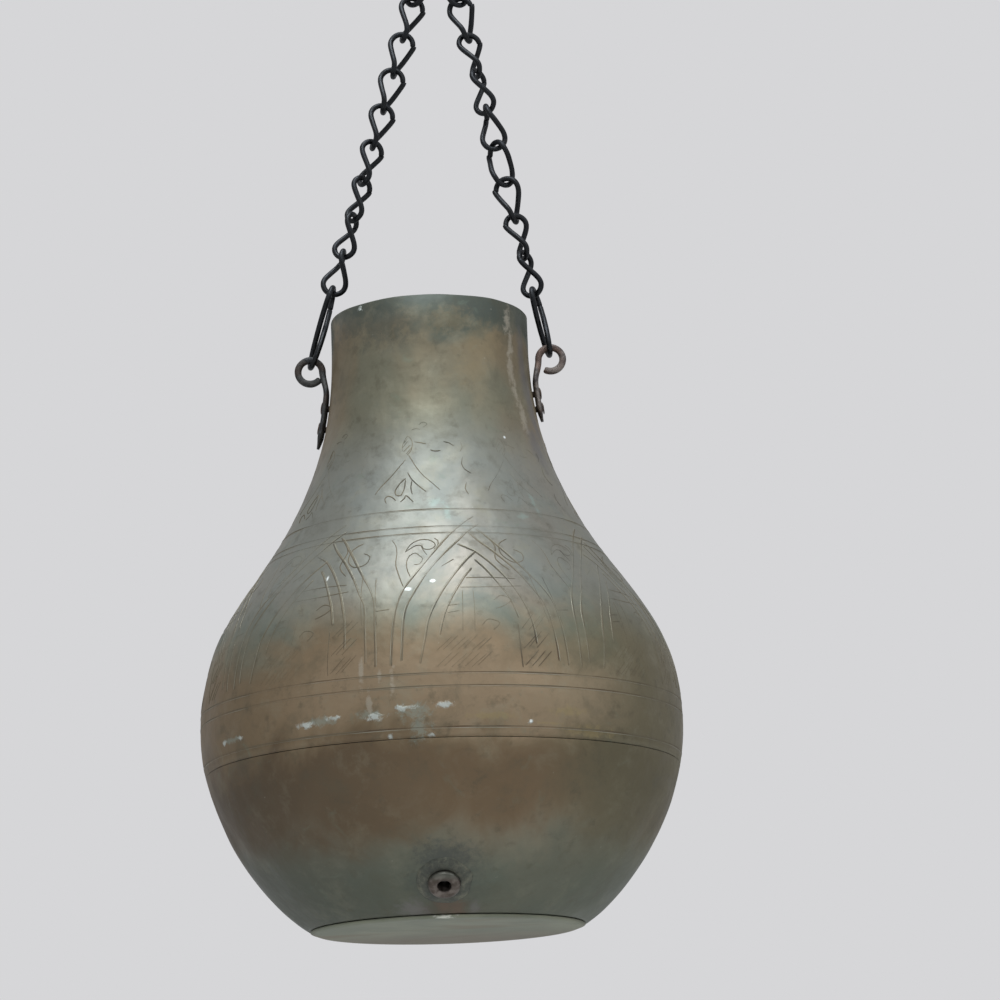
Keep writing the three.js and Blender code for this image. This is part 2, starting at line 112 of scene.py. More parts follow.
# Chains and ring. The wire is drawn a hair thinner than its solid, to stay clear of the next link
WIRE_RADIUS = 1.45
WIRE_EASE = 0.04
WIRE_BEND = 0.04
WIRE_UNEVEN = 0.03
LINK_SLACK = 0.5
LINK_PITCH = 20.6
LINK_LOBE_RADIUS = 5.9
LINK_WAIST_RADIUS = 5.2
LINK_TWIST_REACH = 9
LINK_END_GAP = 0.2
LINK_END_SPLAY = 1.2
LINK_CUT_PLACE = 0.16
END_PITCH = {"left": 38.8, "right": 30.9}
END_LOBE_RADIUS = 6
END_ROLL = {"left": 6.7, "right": -4.7}
ROLLS = {
    "left": (50, 14, 0, 0, 12, 30, 45, 68, 90),
    "right": (-54, -17, 20, 56, 92, 128, 164, 200, 236),
}
RING_RADIUS = 30
RING_ROD_RADIUS = 2

# Fineness of the meshes
AROUND_VESSEL = 192
OUTLINE_STEPS = 40
AROUND_WIRE = 14
ALONG_LINK = 84
SPLAY_STEPS = 5
AROUND_RING = 120
AROUND_RING_ROD = 18
AROUND_RING_LINE = 420


def facing(x, y, z):
    """Matrix whose own axes lie along three directions."""
    return Matrix((x, y, z)).transposed().to_4x4()


def standing():
    """Matrix from the pot's own millimetres to the frame: its foot and its lean are the frame's."""
    base = next(m for m in frame["record"]["mounts"] if m["name"] == "base_underside")
    up, back = -Vector(base["axis"]), Vector((0, 1, 0))
    place = Matrix.Translation(Vector(base["pos_m"]))
    return place @ facing(back.cross(up), back, up) @ Matrix.Scale(MM, 4)


POT = standing()
ROW = Matrix.Scale(MM, 4)


# Shape of the vessel

def curve(*corners):
    """A cubic curve through a radius and a height at each end, as a run of points."""
    flat = [Vector((x, y, 0)) for x, y in corners]
    return [(p.x, p.y) for p in interpolate_bezier(*flat, OUTLINE_STEPS)]


def vessel_outline():
    """Radii and heights of the vessel's outside, from its foot to its rim."""
    slope_below = SHOULDER_RADIUS + SHOULDER_SLOPE * SHOULDER_EASE_BELOW
    slope_above = SHOULDER_RADIUS - SHOULDER_SLOPE * SHOULDER_EASE_ABOVE
    belly, shoulder = (BELLY_RADIUS, BELLY_HEIGHT), (SHOULDER_RADIUS, SHOULDER_HEIGHT)
    lower = curve((BASE_RADIUS, 0), (BOWL_FLARE_RADIUS, BOWL_FLARE_HEIGHT),
                  (BELLY_RADIUS, BELLY_HEIGHT - BELLY_FULLNESS_BELOW), belly)
    upper = curve(belly, (BELLY_RADIUS, BELLY_HEIGHT + BELLY_FULLNESS_ABOVE),
                  (slope_below, SHOULDER_HEIGHT - SHOULDER_EASE_BELOW), shoulder)
    neck = curve(shoulder, (slope_above, SHOULDER_HEIGHT + SHOULDER_EASE_ABOVE),
                 (NECK_RADIUS, NECK_HEIGHT - NECK_EASE), (NECK_RADIUS, NECK_HEIGHT))
    return lower + upper[1:] + neck[1:] + [(NECK_RADIUS, RIM_HEIGHT)]


OUTLINE = vessel_outline()


def radius_at(height):
    above = next((i for i, p in enumerate(OUTLINE) if p[1] >= height), len(OUTLINE) - 1)
    (r0, z0), (r1, z1) = OUTLINE[max(1, above) - 1], OUTLINE[max(1, above)]
    return r0 + (r1 - r0) * (height - z0) / (z1 - z0)


def lean_at(height):
    """How far the wall leans outwards with height, as an angle from the vertical."""
    reach = 1.5
    low, high = max(0, height - reach), min(RIM_HEIGHT, height + reach)
    return atan2(radius_at(high) - radius_at(low), high - low)


# Wear of the beaten wall. Dents: direction from the front in degrees, height, reach and depth
DENTS = (
    (-84, 62, 12, 1.5), (-76, 44, 11, 1.6), (-58, 40, 9, 0.9), (-66, 26, 10, 1.2),
    (-46, 50, 9, 0.7), (63, 170, 15, 1.0), (70, 152, 13, 0.6), (72, 40, 11, 0.8),
    (60, 22, 9, 0.6), (-28, 52, 16, 0.7), (24, 34, 12, 0.5), (-84, 128, 14, 0.6),
    (150, 60, 18, 1.3), (-150, 120, 16, 0.9), (118, 40, 14, 0.8), (48, 250, 10, 0.4),
    (-20, 292, 9, 0.3),
)
DENT_FADED = 3
HAMMER_SIZE = 11
HAMMER_DEPTH = 0.16
WARP_SIZE = 70
WARP_DEPTH = 0.5
SHOULDER_DROP = 0.9
SHOULDER_DROP_REACH = 28
RIM_DIP = 0.8
RIM_DIPS = 3
DIPPED_BELOW_RIM = 4
# how far below the rim the painted shade inside the pot begins
PALE_BELOW_RIM = 3


def wear(angle, height):
    """How far the wall is beaten inside its true round at a direction in radians and a height."""
    radius = radius_at(height)
    spot = Vector((radius * sin(angle), -radius * cos(angle), height))
    depth = HAMMER_DEPTH * (1 + noise.noise(spot / HAMMER_SIZE))
    depth += WARP_DEPTH * (1 + noise.noise(spot / WARP_SIZE + Vector((7, 3, 1)))) / 2
    depth += SHOULDER_DROP * exp(-((height - SHOULDER_HEIGHT) / SHOULDER_DROP_REACH) ** 2)
    for degrees, middle, reach, sink in DENTS:
        apart = (angle - radians(degrees) + pi) % (2 * pi) - pi
        away = hypot(apart * radius, height - middle) / reach
        if away < DENT_FADED:
            depth += sink * exp(-away * away)
    return depth


def skin(angle, height):
    """A point on the beaten surface, and the wall's normal there."""
    lean = lean_at(height)
    radius = radius_at(height) - wear(angle, height)
    outward = Vector((sin(angle), -cos(angle), 0))
    normal = outward * cos(lean) - Vector((0, 0, sin(lean)))
    return outward * radius + Vector((0, 0, height)), normal


def profile_between(low, high, depth=0):
    """The outline between two heights, moved in along its normals by a depth."""
    heights = [low] + [z for _, z in OUTLINE if low < z < high] + [high]
    return [(radius_at(z) - depth * cos(lean_at(z)), z + depth * sin(lean_at(z)))
            for z in heights]


def smooth_share(value, low, high):
    """Nothing below low, one above high, and a smooth rise between them."""
    share = max(0.0, min(1.0, (value - low) / (high - low)))
    return share * share * (3 - 2 * share)


def between(start, end, share):
    return start + (end - start) * share


# Tools that make meshes

def turned(profile, steps=AROUND_VESSEL):
    """A closed profile of radii and heights spun about the upright axis, where its ends may lie."""
    bm = bmesh.new()
    verts = [bm.verts.new((0, -r, z)) for r, z in profile]
    on_axis = profile[0][0] == 0 and profile[-1][0] == 0
    pairs = list(zip(verts, verts[1:])) + ([] if on_axis else [(verts[-1], verts[0])])
    edges = [bm.edges.new(pair) for pair in pairs]
    bmesh.ops.spin(bm, geom=verts + edges, cent=(0, 0, 0), axis=(0, 0, 1), angle=2 * pi,
                   steps=steps, use_merge=True)
    bmesh.ops.remove_doubles(bm, verts=bm.verts, dist=0.001)
    bmesh.ops.recalc_face_normals(bm, faces=bm.faces)
    return bm


def beaten(bm):
    """Wears a spun wall: each point moves in by the wear at its place. Inner ones are marked for
    painted shade inside the pot.
    """
    inside_shade = bm.verts.layers.float.new("inside_shade")
    inner_depth = WALL * 0.6
    for v in bm.verts:
        radius = hypot(v.co.x, v.co.y)
        is_inner = radius < radius_at(v.co.z) - inner_depth
        v[inside_shade] = 1.0 if is_inner and v.co.z < RIM_HEIGHT - PALE_BELOW_RIM else 0.0
        angle = atan2(v.co.x, -v.co.y)
        share = (radius - wear(angle, max(0, min(RIM_HEIGHT, v.co.z)))) / radius
        v.co.x *= share
        v.co.y *= share
        if v.co.z > RIM_HEIGHT - DIPPED_BELOW_RIM:
            around = Vector((sin(angle), cos(angle), 0.5)) * RIM_DIPS
            v.co.z -= RIM_DIP * (1 + noise.noise(around)) / 2
    return bm


def station(place, forward, side, width, height):
    """Where a section stands: its own X lies along side, and its own Z along forward."""
    forward = forward.normalized()
    side = (side - forward * side.dot(forward)).normalized()
    turn = facing(side, forward.cross(side), forward)
    return Matrix.Translation(place) @ turn @ Matrix.Diagonal((width, height, 1, 1))


def swept(section, stations, closed=False):
    """A closed section extruded from station to station, with both ends capped or joined."""
    bm = bmesh.new()
    verts = [bm.verts.new(stations[0] @ Vector((x, y, 0))) for x, y in section]
    first = edges = [bm.edges.new(pair) for pair in zip(verts, verts[1:] + verts[:1])]
    for before, after in zip(stations, stations[1:]):
        made = bmesh.ops.extrude_edge_only(bm, edges=edges)["geom"]
        moved = [g for g in made if isinstance(g, bmesh.types.BMVert)]
        edges = [g for g in made if isinstance(g, bmesh.types.BMEdge) and g.is_boundary]
        bmesh.ops.transform(bm, matrix=after @ before.inverted(), verts=moved)
    if closed:
        bmesh.ops.bridge_loops(bm, edges=first + edges)
    else:
        bmesh.ops.edgeloop_fill(bm, edges=first)
        bmesh.ops.edgeloop_fill(bm, edges=edges)
    bmesh.ops.recalc_face_normals(bm, faces=bm.faces)
    return bm


def round_section(count, fullness=2.0):
    """A circle of radius one, or a fuller and squarer outline, as a run of points."""
    power = 2 / fullness
    points = []
    for i in range(count):
        turn = 2 * pi * (i + 0.5) / count
        c, s = cos(turn), sin(turn)
        points.append((copysign(abs(c) ** power, c), copysign(abs(s) ** power, s)))
    return points


def heading(points, i):
    """The direction of a run of points at one of them."""
    return points[min(i + 1, len(points) - 1)] - points[max(i - 1, 0)]


def wire(points, side):
    """Round wire along a run of points: slightly uneven, with its cut ends rounded over."""
    lump_size, cut_end_share = 4, 0.85
    stations = []
    for i, place in enumerate(points):
        forward = heading(points, i).normalized()
        side = (side - forward * side.dot(forward)).normalized()
        radius = (WIRE_RADIUS - WIRE_EASE) * (1 + WIRE_UNEVEN * noise.noise(place / lump_size))
        if i in (0, len(points) - 1):
            radius *= cut_end_share
        stations.append(station(place, forward, side, radius, radius))
    return swept(round_section(AROUND_WIRE), stations)


def added(name, bm, material):
    """An object in the scene made from a mesh, which is used up."""
    mesh = bpy.data.meshes.new(name)
    bm.to_mesh(mesh)
    bm.free()
    mesh.materials.append(material)
    obj = bpy.data.objects.new(name, mesh)
    scene.collection.objects.link(obj)
    return obj


def piece(name, bm, place, body, material, slot, *replaced):
    """Puts a mesh in the scene, riding on a body of the frame, in place of the frame's nodes."""
    bmesh.ops.transform(bm, matrix=place, verts=bm.verts)
    obj = added(name, bm, material)
    obj.data.shade_smooth()
    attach(obj, body)
    if replaced:
        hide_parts(*replaced)


# Vessel

RIM_ROUNDING = 0.5
FOOT_DISH = 0.5
FOOT_EDGE_WIDTH = 5
SPOUT_SINK = 0.6
AROUND_SPOUT = 64
COLLAR_EDGE = 0.2
COLLAR_RAGGED = 0.07
COLLAR_LUMPS = 0.22
NOZZLE_LUMPS = 0.1
NOZZLE_ROOT = -4


def raised_body():
    """Shoulder, neck and rim in one shell, from the lap up, with its rim rounded over."""
    low, high = SEAM_HEIGHT + CLEAR, RIM_HEIGHT - RIM_ROUNDING
    outer = profile_between(low, high)
    inner = profile_between(low, high, WALL)
    rim = [(NECK_RADIUS - WALL * share, RIM_HEIGHT) for share in (0.25, 0.75)]
    return beaten(turned(outer + rim + inner[::-1]))


def bowl_shell():
    """The bowl, with a lap that goes up inside the shoulder and a flange over the foot's disc."""
    low = BASE_THICKNESS + CLEAR
    step = WALL + CLEAR
    outer = profile_between(low, SEAM_HEIGHT)
    lap = profile_between(SEAM_HEIGHT, SEAM_HEIGHT + SEAM_LAP, step)
    lap_inside = profile_between(SEAM_HEIGHT - WALL, SEAM_HEIGHT + SEAM_LAP, step + WALL)
    inner = profile_between(low + WALL, SEAM_HEIGHT - step - WALL, WALL)
    flange = [(BASE_RADIUS - BASE_FLANGE, low + WALL), (BASE_RADIUS - BASE_FLANGE, low)]
    bm = turned(outer + lap + lap_inside[::-1] + inner[::-1] + flange)
    # the way out to the spout: the faces behind its stem go, and the two edges left are joined
    to_spout = on_front(SPOUT_HEIGHT).inverted()
    near = {v for v in bm.verts if v.co.y < 0 and (to_spout @ v.co).xy.length < SPOUT_STEM_RADIUS}
    bmesh.ops.delete(bm, geom=[f for f in bm.faces if near.issuperset(f.verts)], context="FACES")
    bmesh.ops.bridge_loops(bm, edges=[e for e in bm.edges if e.is_boundary])
    return beaten(bm)


def foot_disc():
    """The disc under the bowl: a little dished, with a thin soldered edge."""
    edge = radius_at(BASE_THICKNESS)
    inside = BASE_RADIUS - FOOT_EDGE_WIDTH
    rows = 8
    rounding = 0.3
    under = [(inside * i / rows, FOOT_DISH * (1 - (i / rows) ** 4)) for i in range(rows + 1)]
    rim = [(BASE_RADIUS - 0.8, 0), (BASE_RADIUS, 0.25),
           (edge - rounding, BASE_THICKNESS - rounding), (edge - 1, BASE_THICKNESS)]
    return turned(under + rim + [(0, BASE_THICKNESS)])


def on_front(height):
    """Matrix that stands a piece on the front of the pot, with its own Z out along the normal."""
    place, normal = skin(0, height)
    side = Vector((1, 0, 0))
    return Matrix.Translation(place) @ facing(side, normal.cross(side), normal)


def spout_collar():
    """A ragged ring of solder round the spout's stem, swollen near it and bent to the skin."""
    rows = 6
    inside = SPOUT_STEM_RADIUS + CLEAR
    width = SPOUT_COLLAR_RADIUS - inside
    top = []
    for i in range(rows + 1):
        share = i / rows
        swell = SPOUT_COLLAR_THICKNESS * sin(pi * (1 - share) ** 0.7)
        top.append((inside + width * (1 - share), COLLAR_EDGE / 2 + CLEAR * share + swell))
    bm = turned([(inside, -SPOUT_SINK), (SPOUT_COLLAR_RADIUS, -SPOUT_SINK)] + top, AROUND_SPOUT)
    stand = on_front(SPOUT_HEIGHT)
    out = (stand.to_3x3() @ Vector((0, 0, 1))).normalized()
    for v in bm.verts:
        aside = Vector((v.co.x, v.co.y, 0))
        if aside.length > inside + 1:
            ragged = 1 + COLLAR_RAGGED * noise.noise(aside.normalized() * 2.2 + Vector((4, 0, 0)))
            v.co.x *= ragged
            v.co.y *= ragged
        if v.co.z > COLLAR_EDGE:
            v.co.z += COLLAR_LUMPS * noise.noise(v.co / 2.5)
        seat = stand @ Vector((v.co.x, v.co.y, 0))
        under, normal = skin(atan2(seat.x, -seat.y), seat.z)
        v.co.z += (under - seat).dot(normal) / out.dot(normal)
    return bm


def spout_nozzle():
    """A rolled eyelet: a stem through the wall, and a domed lip that turns in to the bore."""
    seat = SPOUT_COLLAR_THICKNESS + 2 * CLEAR
    dome_foot = seat + 0.5
    half = (SPOUT_LIP_RADIUS - SPOUT_BORE_RADIUS) / 2
    steps = 9
    dome = []
    for i in range(steps + 1):
        turn = pi * i / steps
        rise = sin(turn) ** 0.8
        if turn > pi / 2:
            rise = between(SPOUT_FUNNEL, 1, rise)
        radius = SPOUT_BORE_RADIUS + half * (1 + cos(turn))
        dome.append((radius, between(dome_foot, SPOUT_LIP_HEIGHT, rise)))
    stem = [(SPOUT_STEM_RADIUS, NOZZLE_ROOT), (SPOUT_STEM_RADIUS, seat)]
    lip_edge = [(SPOUT_LIP_RADIUS - 0.4, seat)]
    bm = turned(stem + lip_edge + dome + [(SPOUT_BORE_RADIUS, NOZZLE_ROOT)], AROUND_SPOUT)
    for v in bm.verts:
        if v.co.z > seat:
            v.co += v.co.normalized() * NOZZLE_LUMPS * noise.noise(v.co / 3 + Vector((2, 5, 0)))
    return bm


# Engraving, as runs of degrees around the pot and heights up it

BAYS = 8
ARCH_AT = 10.5
BOUNDARY_AT = -12
GROOVE = ((-1, -0.3), (-0.72, 0.15), (0, 0.02), (0.72, 0.15), (1, -0.3))
BURR = ((-1, -0.3), (-0.4, 0.1), (0.4, 0.1), (1, -0.3))
LINE_HALF = 0.46
BURR_HALF = 0.34
BURR_SHIFT = 0.72
RING_LINE_SHARE = 0.7
LINE_STEP = 1.7
LINE_END_SHARE = 0.35
FINE_LINE_SHARE = 0.72
HATCH_LINE_SHARE = 0.5
KEPT_EVENLY = 0.62
KEPT_CLOUD = 26
WORN_SPOT_KEPT = 0.14
LEAST_KEPT = 0.07
SHALLOWEST = 0.3

# One bay's arch, counted from the middle of the arch: its left arm, its right arm and its filling
ARCH_ARM = (
    ((-20.6, 114), (-20.4, 126), (-20.1, 136.3), (-19.7, 143.8), (-18.3, 152.3), (-15.4, 160.8),
     (-10.8, 172.2), (-5.9, 182.1), (-0.7, 189.5), (3.3, 193.6)),
    ((-18.2, 116), (-18.0, 126), (-17.8, 136), (-17.2, 143.5), (-15.2, 151.9), (-12, 162.2),
     (-7.5, 172), (-2.9, 179.6), (0.8, 185.2), (4.6, 189.3)),
    ((-14, 114.3), (-12.8, 126), (-12, 135.5), (-10.6, 142.9), (-8.3, 151.5), (-5.1, 160.2),
     (-1.6, 167.8), (1.8, 173.3)),
    ((-9.4, 128), (-8.6, 135.3), (-7.5, 142), (-5.5, 149.8), (-2.6, 158.5), (-0.3, 163.6)),
)
ARCH_FAR_ARM = (
    ((3.2, 186.2), (5.9, 182.1), (10.8, 172.2), (15.4, 160.8), (18.3, 152.3), (19.7, 143.8),
     (20.4, 126), (20.6, 114)),
    ((0.6, 184), (2.9, 179.6), (7.5, 172), (12, 162.2), (15.2, 151.9), (17.2, 143.5), (18, 126),
     (18.2, 116)),
    ((-3.5, 177.4), (-0.6, 174.9), (1.8, 172.4), (5.6, 165.4), (8.9, 156.4), (11.2, 146.4),
     (12.6, 135.5), (13, 124)), ((0.8, 168.4), (3.2, 163.2), (5.9, 155), (8.1, 146.6), (9.4, 137)),
)
ARCH_FILLING = (
    ((-2.4, 158.1), (4, 158.4), (11, 158)), ((-4.1, 152.9), (3.5, 153.1), (12.1, 154.1)),
    ((-3.6, 151.3), (-3.8, 143), (-4.2, 130)), ((-0.9, 151.3), (-1, 143), (-1.4, 130)),
    ((-7.4, 143.2), (-4.6, 143.8)), ((-7.5, 139.4), (-4.7, 140.4)),
    ((4, 146), (6, 148.6), (8.4, 146.4), (6.6, 143.4), (4.2, 141.5)),
    ((9, 134), (9, 122), (9.2, 112)), ((-8.5, 164.8), (-5, 168.8)),
    ((0.5, 133), (2, 136), (4.6, 134.2), (3, 130.6)),
)
# What stands where two bays meet, counted from their boundary
BOUNDARY_LINES = (
    ((-1, 181.5), (0.6, 177.9), (1.3, 173.2), (1.4, 167.3), (2.7, 160.5), (4.1, 154.3)),
    ((3.7, 173.7), (5.2, 178.2), (7.8, 180.5), (10.4, 180.3), (12.2, 178.5), (12.4, 176.4),
     (10.9, 174.8), (9, 175.3), (8.5, 177.9)),
    ((3.9, 174.1), (6.6, 177.2), (8.3, 177), (8.8, 174.9), (10.1, 171.5)),
    ((5.8, 159.3), (4.8, 163.6), (4.4, 167.8), (5.1, 171.5), (6.7, 173), (8, 171.2), (8.9, 169.5),
     (8.1, 166.6), (6.5, 166.3)), ((12.2, 181), (13.3, 179.7), (13.2, 176.7), (12.1, 174.7)),
    ((-7.3, 162), (-6.6, 150), (-5.4, 135)), ((-3.4, 160), (-2.8, 149), (-1.8, 135)),
    ((-2.3, 142), (1, 142.6)),
    ((-10, 181), (-13, 178), (-13.4, 172), (-10.6, 167.5), (-7.4, 168.8), (-6.8, 173), (-9, 175)),
    ((-16, 181), (-14.6, 176.5), (-15.5, 169), (-12.5, 163)),
)
POINT_LINES = (
    ((1.6, 229.8), (3, 227.2), (5.1, 223), (8.3, 217.8), (11.9, 213.3), (15, 209)),
    ((1.7, 220), (3.9, 215.5), (7.3, 211.1), (9.6, 208.4)),
    ((0.4, 227.4), (-2, 223.6), (-5.4, 218.2), (-9.1, 212.9), (-10.9, 209)),
    ((1.1, 216.6), (-0.9, 214.3), (-2.6, 210.3), (-2.2, 207.7), (-0.2, 207.1), (0.9, 210.8),
     (1.1, 216)), ((3.9, 215.5), (3.5, 211.4), (4.3, 207.1)),
    ((-5.4, 203.1), (-6.4, 205.8), (-5.2, 207.3), (-3.3, 206.2), (-1.9, 204.3)),
    ((-0.1, 203.2), (1.4, 205.2), (1.8, 206.9), (3.7, 204.5), (4.9, 202.7)),
    ((-1.3, 232.1), (-1.6, 235), (-0.9, 237.3), (0.7, 240.4), (2.8, 237.8), (3.1, 234.5),
     (2.5, 231.8), (0.9, 229.7)), ((-0.8, 236.5), (0.8, 239.6)), ((-1.4, 234.1), (1.2, 237.9)),
    ((-0.9, 231.7), (2.3, 235.4)), ((0.5, 230.3), (2.8, 233.8)),
    ((6, 246.1), (8.1, 247.6), (10.3, 246.3), (8.1, 244.8)),
    ((2.4, 243.5), (4.5, 244.2), (6.7, 243.6)), ((4, 236.9), (6.8, 236.3), (9.5, 235.4)),
    ((11.5, 232), (13.5, 231.2), (16.1, 231.5)), ((17.7, 236.4), (20.4, 235.6), (22.3, 234)),
    ((25.6, 236.1), (26.2, 233.3), (24.8, 230.8)),
    ((25.8, 227.9), (24.9, 224.2), (25.8, 221), (28.4, 218.6)),
    ((25.8, 213.4), (24.8, 209.9), (25.8, 206.5)),
)
# Where polishing has nearly taken the lines away: degrees, height and reach
WORN_AWAY = (
    (34, 232, 27), (40, 205, 24), (33, 186, 17), (45, 160, 24), (27, 138, 13), (20, 190, 9),
    (62, 128, 30), (-36, 232, 27), (-40, 203, 24), (-48, 176, 22), (-38, 150, 16), (-60, 140, 26),
    (-40, 107, 26), (130, 190, 40), (210, 150, 40), (235, 225, 34),
)
RINGS = (198.3, 188.2, 184.4, 109.8, 103.6, 84.1)
HATCHING = ((-10.4, 2.6, 111.5, 127.5), (9.8, 17.4, 112, 139))
HATCH_STEP = 1.5
HATCH_SLANT = 3.6
HATCH_ROW = 8
HATCH_INSET = 0.8
HATCH_SHORT = 1.2


def smooth_run(corners):
    """A run of degrees and heights rounded through its corners, at even small steps."""
    spots = [Vector((a, z, 0)) for a, z in corners]
    run = []
    for i in range(len(spots) - 1):
        start, end = spots[i], spots[i + 1]
        before, after = spots[max(i - 1, 0)], spots[min(i + 2, len(spots) - 1)]
        around = (end.x - start.x) * radians(1) * radius_at(start.y)
        count = max(3, round(Vector((around, end.y - start.y)).length / LINE_STEP) + 1)
        leave, arrive = start + (end - before) / 6, end - (after - start) / 6
        run += interpolate_bezier(start, leave, arrive, end, count)[:-1]
    return [(p.x, p.y) for p in run + [spots[-1]]]


WORN_SPOTS = [(skin(radians(a), z)[0], reach) for a, z, reach in WORN_AWAY]


def worn_share(place):
    """How much of a cut line is left at a place: polishing has nearly taken it away in patches."""
    clouds = noise.noise(place / KEPT_CLOUD + Vector((3, 8, 5))) * 2.2
    kept = KEPT_EVENLY * (1 + max(-0.5, min(0.8, clouds)))
    for spot, reach in WORN_SPOTS:
        away = (place - spot).length / reach
        kept *= between(WORN_SPOT_KEPT, 1, smooth_share(away, 0.5, 1.25))
    return max(LEAST_KEPT, kept)


def cut_line(run, section, half, shift=0.0, closed=False):
    """A ribbon along a run on the beaten skin, with a section of half widths and rises."""
    spots = [skin(radians(a), z) for a, z in run]
    places = [place for place, _ in spots]
    stations = []
    for i, (place, normal) in enumerate(spots):
        forward = places[(i + 1) % len(places)] - places[i - 1] if closed else heading(places, i)
        side = normal.cross(forward.normalized())
        kept = worn_share(place)
        width, depth = half * kept, between(SHALLOWEST, 1, kept)
        if not closed and i in (0, len(places) - 1):
            width *= LINE_END_SHARE
        stations.append(station(place + side * shift, forward, side, width, depth))
    bm = swept(section, stations, closed)
    mesh = bpy.data.meshes.new("line")
    bm.to_mesh(mesh)
    bm.free()
    return mesh


def engraved(meshes):
    """All the lines of one finish as one mesh."""
    bm = bmesh.new()
    for mesh in meshes:
        bm.from_mesh(mesh)
        bpy.data.meshes.remove(mesh)
    return bm


def ring_run(height):
    """A run once round the pot."""
    return [(360 * i / AROUND_RING_LINE, height) for i in range(AROUND_RING_LINE)]


def hatching(around, left, right, low, high):
    """Slanted short strokes that fill a block between two directions and two heights."""
    strokes = []
    rows = max(1, round((high - low) / HATCH_ROW))
    tall = (high - low) / rows
    for row in range(rows):
        start = left
        while start + HATCH_SLANT < right:
            loose = noise.noise(Vector((around + start, low + row * 9, 0.3)) * 1.7)
            base = low + row * tall + HATCH_INSET + loose
            top = base + tall - HATCH_SHORT + loose
            strokes.append(((around + start, base), (around + start + HATCH_SLANT, top)))
            start += HATCH_STEP * (1 + 0.3 * loose)
    return strokes


def ornament():
    """Every run of the engraving: the arches' bold lines, the finer filling and the hatching."""
    bold, fine, finest = [], [], []
    for bay in range(BAYS):
        arch = ARCH_AT + bay * 360 / BAYS
        edge = BOUNDARY_AT + bay * 360 / BAYS
        for line in ARCH_ARM + ARCH_FAR_ARM:
            bold.append([(arch + a, z) for a, z in line])
        for line in ARCH_FILLING:
            fine.append([(arch + a, z) for a, z in line])
        for line in BOUNDARY_LINES + POINT_LINES:
            fine.append([(edge + a, z) for a, z in line])
        for block in HATCHING:
            finest += hatching(arch, *block)
    return bold, fine, finest


# Lugs

EYE_STEPS, STRAP_STEPS = 44, 40
STRAP_FLAT_FROM = 9
STRAP_WIDENS = (1, 13)
STRAP_TIP_SHARE = 0.2
ROD_END_SHARE = 0.75
LUG_UNEVEN = 0.07
LUG_SECTION = round_section(20, 2.7)
RIVET_UNEVEN = 0.16
AROUND_RIVET = 28


def eye_from_axis(lug):
    return radius_at(lug["eye_height"]) + EYE_OFFSET


def strap_middle(lug, drop):
    """How far from the pot's axis the middle of the strap lies at a drop below the eye."""
    height = lug["eye_height"] - drop
    resting = (CLEAR + STRAP_THICKNESS / 2) / cos(lean_at(height))
    settle = smooth_share(drop, 0, STRAP_SETTLE)
    start = eye_from_axis(lug) - EYE_RADIUS
    return start + (radius_at(height) + resting - start) * settle


def forged_lug(lug):
    """One bar: rolled round into the eye, then beaten flat into the strap riveted to the neck."""
    length = lug["length"]
    roll = lug["roll"] + EYE_CLOSING
    arc = radians(180 + roll)
    stops = []
    for i in range(EYE_STEPS):
        turn = arc * i / EYE_STEPS - radians(roll)
        x = eye_from_axis(lug) + EYE_RADIUS * cos(turn)
        stops.append((x, EYE_RADIUS * sin(turn), EYE_ROD_RADIUS, EYE_ROD_RADIUS))
    for i in range(STRAP_STEPS + 1):
        drop = length * i / STRAP_STEPS
        thin = smooth_share(drop, length - STRAP_TAPER, length)
        thick = between(EYE_ROD_RADIUS, between(STRAP_THICKNESS, STRAP_TIP_THICKNESS, thin) / 2,
                        smooth_share(drop, 0, STRAP_FLAT_FROM))
        from_tip = max(0.0, 1 - (length - drop) / (STRAP_WIDTH / 2))
        nose = sqrt(max(STRAP_TIP_SHARE ** 2, 1 - from_tip ** 2))
        wide = between(EYE_ROD_RADIUS, STRAP_WIDTH / 2, smooth_share(drop, *STRAP_WIDENS))
        stops.append((strap_middle(lug, drop), -drop, thick, wide * nose))
    points = [Vector((x * lug["side"], 0, lug["eye_height"] + z)) for x, z, _, _ in stops]
    across = Vector((0, 1, 0))
    stations = []
    for i, (_, _, thick, wide) in enumerate(stops):
        beat = 1 + LUG_UNEVEN * noise.noise(points[i] / 5 + Vector((lug["side"] * 9, 0, 0)))
        if i == 0:
            beat *= ROD_END_SHARE
        stations.append(station(points[i], heading(points, i), across, wide * beat, thick * beat))
    return swept(LUG_SECTION, stations)


def rivet(lug, drop):
    """A rivet through strap and wall, its heads beaten over outside and inside the neck."""
    height = lug["eye_height"] - drop
    lean = lean_at(height)
    middle = (strap_middle(lug, drop) - radius_at(height)) * cos(lean)
    outside = middle + STRAP_THICKNESS / 2 + CLEAR / 2
    inside = -WALL - CLEAR
    steps = 6
    turns = [pi / 2 * i / steps for i in range(steps + 1)]
    cap = [(RIVET_HEAD_RADIUS * sin(t), RIVET_HEAD_HEIGHT * cos(t)) for t in turns]
    top = [(r, outside + HEAD_BEATEN * z) for r, z in cap]
    foot = [(r, inside - z) for r, z in cap]
    bm = turned(foot + [(RIVET_RADIUS, inside), (RIVET_RADIUS, outside)] + top[::-1], AROUND_RIVET)
    for v in bm.verts:
        v.co += RIVET_UNEVEN * noise.noise_vector(v.co / 2.4 + Vector((drop, lug["side"], 0)))
    out = Matrix.Rotation(pi / 2 + lean, 4, "Y")
    on_wall = Matrix.Translation((radius_at(height), 0, height)) @ out
    around = Matrix.Rotation(0 if lug["side"] > 0 else pi, 4, "Z")
    bmesh.ops.transform(bm, matrix=around @ on_wall, verts=bm.verts)
    return bm


# Chains

